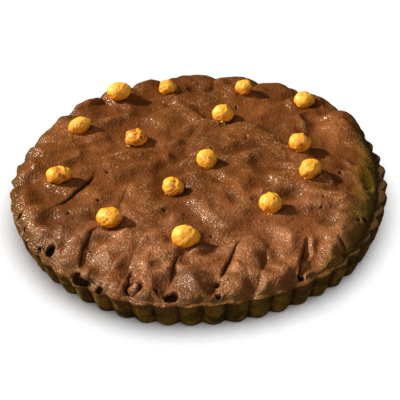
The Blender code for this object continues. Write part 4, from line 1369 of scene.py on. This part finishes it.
def nut_material(colours):
    """Roasted hazelnut: pale gold, toasted in its creases, with a few scorched specks; painted shade makes it
    darker low down, and its pale skin, partly painted light, keeps to the top.
    """
    tree = NodeTree("roasted_hazelnut")
    clouds, blots = tree.noise(6 * MM, 3, 0.6), tree.noise(2.6 * MM, 3, 0.6, 0.6)
    grain = tree.noise(0.9 * MM, 3, 0.6)
    dent, roast, low = tree.mask("dent"), tree.mask("roast"), tree.mask("low")
    tone = tree.math("ADD", tree.ramp(clouds, 0.40, 0.62, -0.20, 0.35), tree.times(roast, 0.75))
    # Darker low down, as painted shade
    tone = tree.math("ADD", tone, tree.ramp(low, 0.25, 0.80, -0.15, 0.85))
    tone = tree.math("ADD", tone, tree.ramp(dent, 0.55, 0.95, 0.0, 0.35))
    colour = tree.mix(tree.ramp(tone, 0.0, 1.0), colours.nut_golden, colours.nut_toast_and_shade)
    skin = tree.times(tree.ramp(blots, 0.52, 0.64), tree.ramp(roast, 0.0, 0.9, 0.65, 0.15))
    # Pale skin fades out low down: partly painted light on the top
    colour = tree.mix(tree.times(skin, tree.ramp(low, 0.2, 0.6, 1.0, 0.1)), colour, colours.nut_pale)
    scorched = tree.ramp(tree.noise(3.8 * MM, 2), 0.58, 0.68)
    scorched = tree.times(scorched, tree.ramp(roast, 0.55, 0.85, 0.0, 0.95))
    creases = tree.times(tree.ramp(dent, 0.85, 1.0), tree.ramp(roast, 0.0, 0.9, 0.15, 0.7))
    colour = tree.mix(tree.math("MAXIMUM", scorched, creases), colour, SCORCH_SHADE)
    colour = tree.mix(tree.ramp(grain, 0.30, 0.48, 0.40, 0.0), colour, NUT_GRAIN_SHADE)
    coarse = tree.bump(blots, 0.8 * MM, 0.6)
    return tree.finish(
        Base_Color=colour,
        Roughness=tree.ramp(grain, 0.3, 0.7, 0.36, 0.55),
        Specular_IOR_Level=0.4,
        Subsurface_Weight=0.30,
        Subsurface_Radius=(1.0, 0.55, 0.12),
        Subsurface_Scale=3 * MM,
        Normal=tree.bump(grain, 0.4 * MM, 0.6, coarse),
    )


def build_sweep(studio):
    """A studio sweep as a surface of revolution: flat to its bend, then rising as way * way * (3 - 2 way)."""
    columns, bend, reach, rise = 96, 1.6, 4.0, 1.8
    angle = np.arange(columns) * 2 * math.pi / columns
    radius = np.concatenate([np.linspace(0.2, bend, 8), np.linspace(bend, reach, 24)[1:]])[:, None]
    height = rise * smooth((radius - bend) / (reach - bend))
    points = np.stack(np.broadcast_arrays(radius * np.cos(angle), radius * np.sin(angle), height), -1)
    quads = ring_faces(len(radius), columns)
    middle = fan_faces(len(radius) * columns, np.arange(columns), False)
    points = np.concatenate([points.reshape(-1, 3), [(0, 0, 0)]])
    sweep = make_mesh("studio_sweep", points, [quads, middle], None, 80)
    tree = NodeTree("pale_floor")
    sweep.data.materials.append(tree.finish(Base_Color=studio.floor, Roughness=0.9))
    sweep.visible_diffuse = False
    sweep.visible_glossy = False
    return sweep


def add_sun(name, towards, strength, softness, lit):
    """A sun lamp that shines from the direction towards, on the lit pieces only."""
    lamp = bpy.data.objects.new(name, bpy.data.lights.new(name, "SUN"))
    bpy.context.scene.collection.objects.link(lamp)
    lamp.data.energy = strength
    lamp.data.angle = softness
    lamp.rotation_euler = (-Vector(towards)).to_track_quat("-Z", "Y").to_euler()
    lit_by = bpy.data.collections.new(f"lit by {name}")
    for piece in lit:
        lit_by.objects.link(piece)
    lamp.light_linking.receiver_collection = lit_by
    return lamp


def add_fill(studio):
    """Soft white light from all round, of which a glossy skin reflects only a share."""
    world = bpy.data.worlds.new("studio")
    world.use_nodes = True
    nodes, links = world.node_tree.nodes, world.node_tree.links
    nodes["Background"].inputs["Color"].default_value = (1, 1, 1, 1)
    path, strength = nodes.new("ShaderNodeLightPath"), nodes.new("ShaderNodeMapRange")
    strength.inputs["To Min"].default_value = studio.fill
    strength.inputs["To Max"].default_value = studio.fill * studio.gloss_fill
    links.new(path.outputs["Is Glossy Ray"], strength.inputs["Value"])
    links.new(strength.outputs["Result"], nodes["Background"].inputs["Strength"])
    bpy.context.scene.world = world


def add_camera(studio):
    """The camera looks along +Y and down by its elevation, at the tart's middle but for a small shift.

    The shift is in pixels of a frame of 400 by 400.
    """
    distance, elevation = studio.distance, studio.elevation
    back = Vector((0, -math.cos(elevation), math.sin(elevation)))
    up = Vector((0, math.sin(elevation), math.cos(elevation)))
    middle = Vector((0, 0, 10 * MM))
    place = middle + back * distance
    pixel = distance * SENSOR / studio.lens / FRAME_PIXELS
    aim = middle - up * (AIM_SHIFT[1] * pixel) + Vector((AIM_SHIFT[0] * pixel, 0, 0))
    turn = (aim - place).to_track_quat("-Z", "Y").to_matrix().to_4x4() @ Matrix.Rotation(studio.roll, 4, "Z")
    camera = bpy.data.objects.new("camera", bpy.data.cameras.new("camera"))
    bpy.context.scene.collection.objects.link(camera)
    camera.matrix_world = Matrix.Translation(place) @ turn
    camera.data.sensor_width = SENSOR
    camera.data.lens = studio.lens
    camera.data.dof.use_dof = False
    bpy.context.scene.camera = camera


class TART_OT_bake_case(Operator):
    """Bake the fluted pastry case"""

    bl_idname = "tart.bake_case"
    bl_label = "Bake Case"

    def execute(self, context):
        build_case(context.scene.tart_form, context.scene.tart_colours)
        return {"FINISHED"}


class TART_OT_pour_chocolate(Operator):
    """Pour the folded chocolate filling"""

    bl_idname = "tart.pour_chocolate"
    bl_label = "Pour Chocolate"

    def execute(self, context):
        build_chocolate(context.scene.tart_form, context.scene.tart_colours)
        return {"FINISHED"}


class TART_OT_set_hazelnuts(Operator):
    """Set the roasted hazelnuts, and the crumbs beside them, into the chocolate"""

    bl_idname = "tart.set_hazelnuts"
    bl_label = "Set Hazelnuts"

    def execute(self, context):
        form = context.scene.tart_form
        material = nut_material(context.scene.tart_colours)
        for n, (row, place) in enumerate(zip(NUTS, nut_places()), 1):
            build_nut(n, place, row[-1], form, material)
        build_crumbs(form, material)
        return {"FINISHED"}


class TART_OT_set_stage(Operator):
    """Lay the pale floor, and place the lights and the camera"""

    bl_idname = "tart.set_stage"
    bl_label = "Set Stage"

    def execute(self, context):
        studio = context.scene.tart_studio
        food = [piece for piece in context.scene.objects if piece.type == "MESH" and not piece.hide_render]
        if not food:
            raise RuntimeError("there is nothing to light: bake the tart first")
        sweep = build_sweep(studio)
        add_sun("key", KEY_FROM, studio.key, studio.key_softness, food)
        add_sun("front fill", FRONT_FROM, studio.front, studio.front_softness, food)
        add_sun("sweep light", (0, 0, 1), studio.sweep, studio.sweep_softness, [sweep])
        add_fill(studio)
        add_camera(studio)
        context.scene.view_settings.view_transform = "Standard"
        return {"FINISHED"}


class TART_PT_sidebar(Panel):
    """Lists the steps and the values they use"""

    bl_label = "Chocolate and Hazelnut Tart"
    bl_idname = "TART_PT_sidebar"
    bl_space_type = "VIEW_3D"
    bl_region_type = "UI"
    bl_category = "Tart"

    def draw(self, context):
        scene = context.scene
        for group, steps in (
            (scene.tart_form, ("tart.bake_case", "tart.pour_chocolate", "tart.set_hazelnuts")),
            (scene.tart_colours, ()),
            (scene.tart_studio, ("tart.set_stage",)),
        ):
            box = self.layout.box()
            for name in group.__annotations__:
                box.prop(group, name)
            for step in steps:
                box.operator(step)


CLASSES = (
    TartForm, TartColours, TartStudio,
    TART_OT_bake_case, TART_OT_pour_chocolate, TART_OT_set_hazelnuts, TART_OT_set_stage,
    TART_PT_sidebar,
)


def register():
    """Add the classes and the property groups of the scene."""
    for kind in CLASSES:
        bpy.utils.register_class(kind)
    bpy.types.Scene.tart_form = PointerProperty(type=TartForm)
    bpy.types.Scene.tart_colours = PointerProperty(type=TartColours)
    bpy.types.Scene.tart_studio = PointerProperty(type=TartStudio)


def unregister():
    """Take them away again."""
    del bpy.types.Scene.tart_studio
    del bpy.types.Scene.tart_colours
    del bpy.types.Scene.tart_form
    for kind in reversed(CLASSES):
        bpy.utils.unregister_class(kind)


def main():
    """Bake, pour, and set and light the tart."""
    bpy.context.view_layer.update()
    register()
    bpy.ops.tart.bake_case()
    bpy.ops.tart.pour_chocolate()
    bpy.ops.tart.set_hazelnuts()
    bpy.ops.tart.set_stage()


if __name__ == "__main__":
    main()
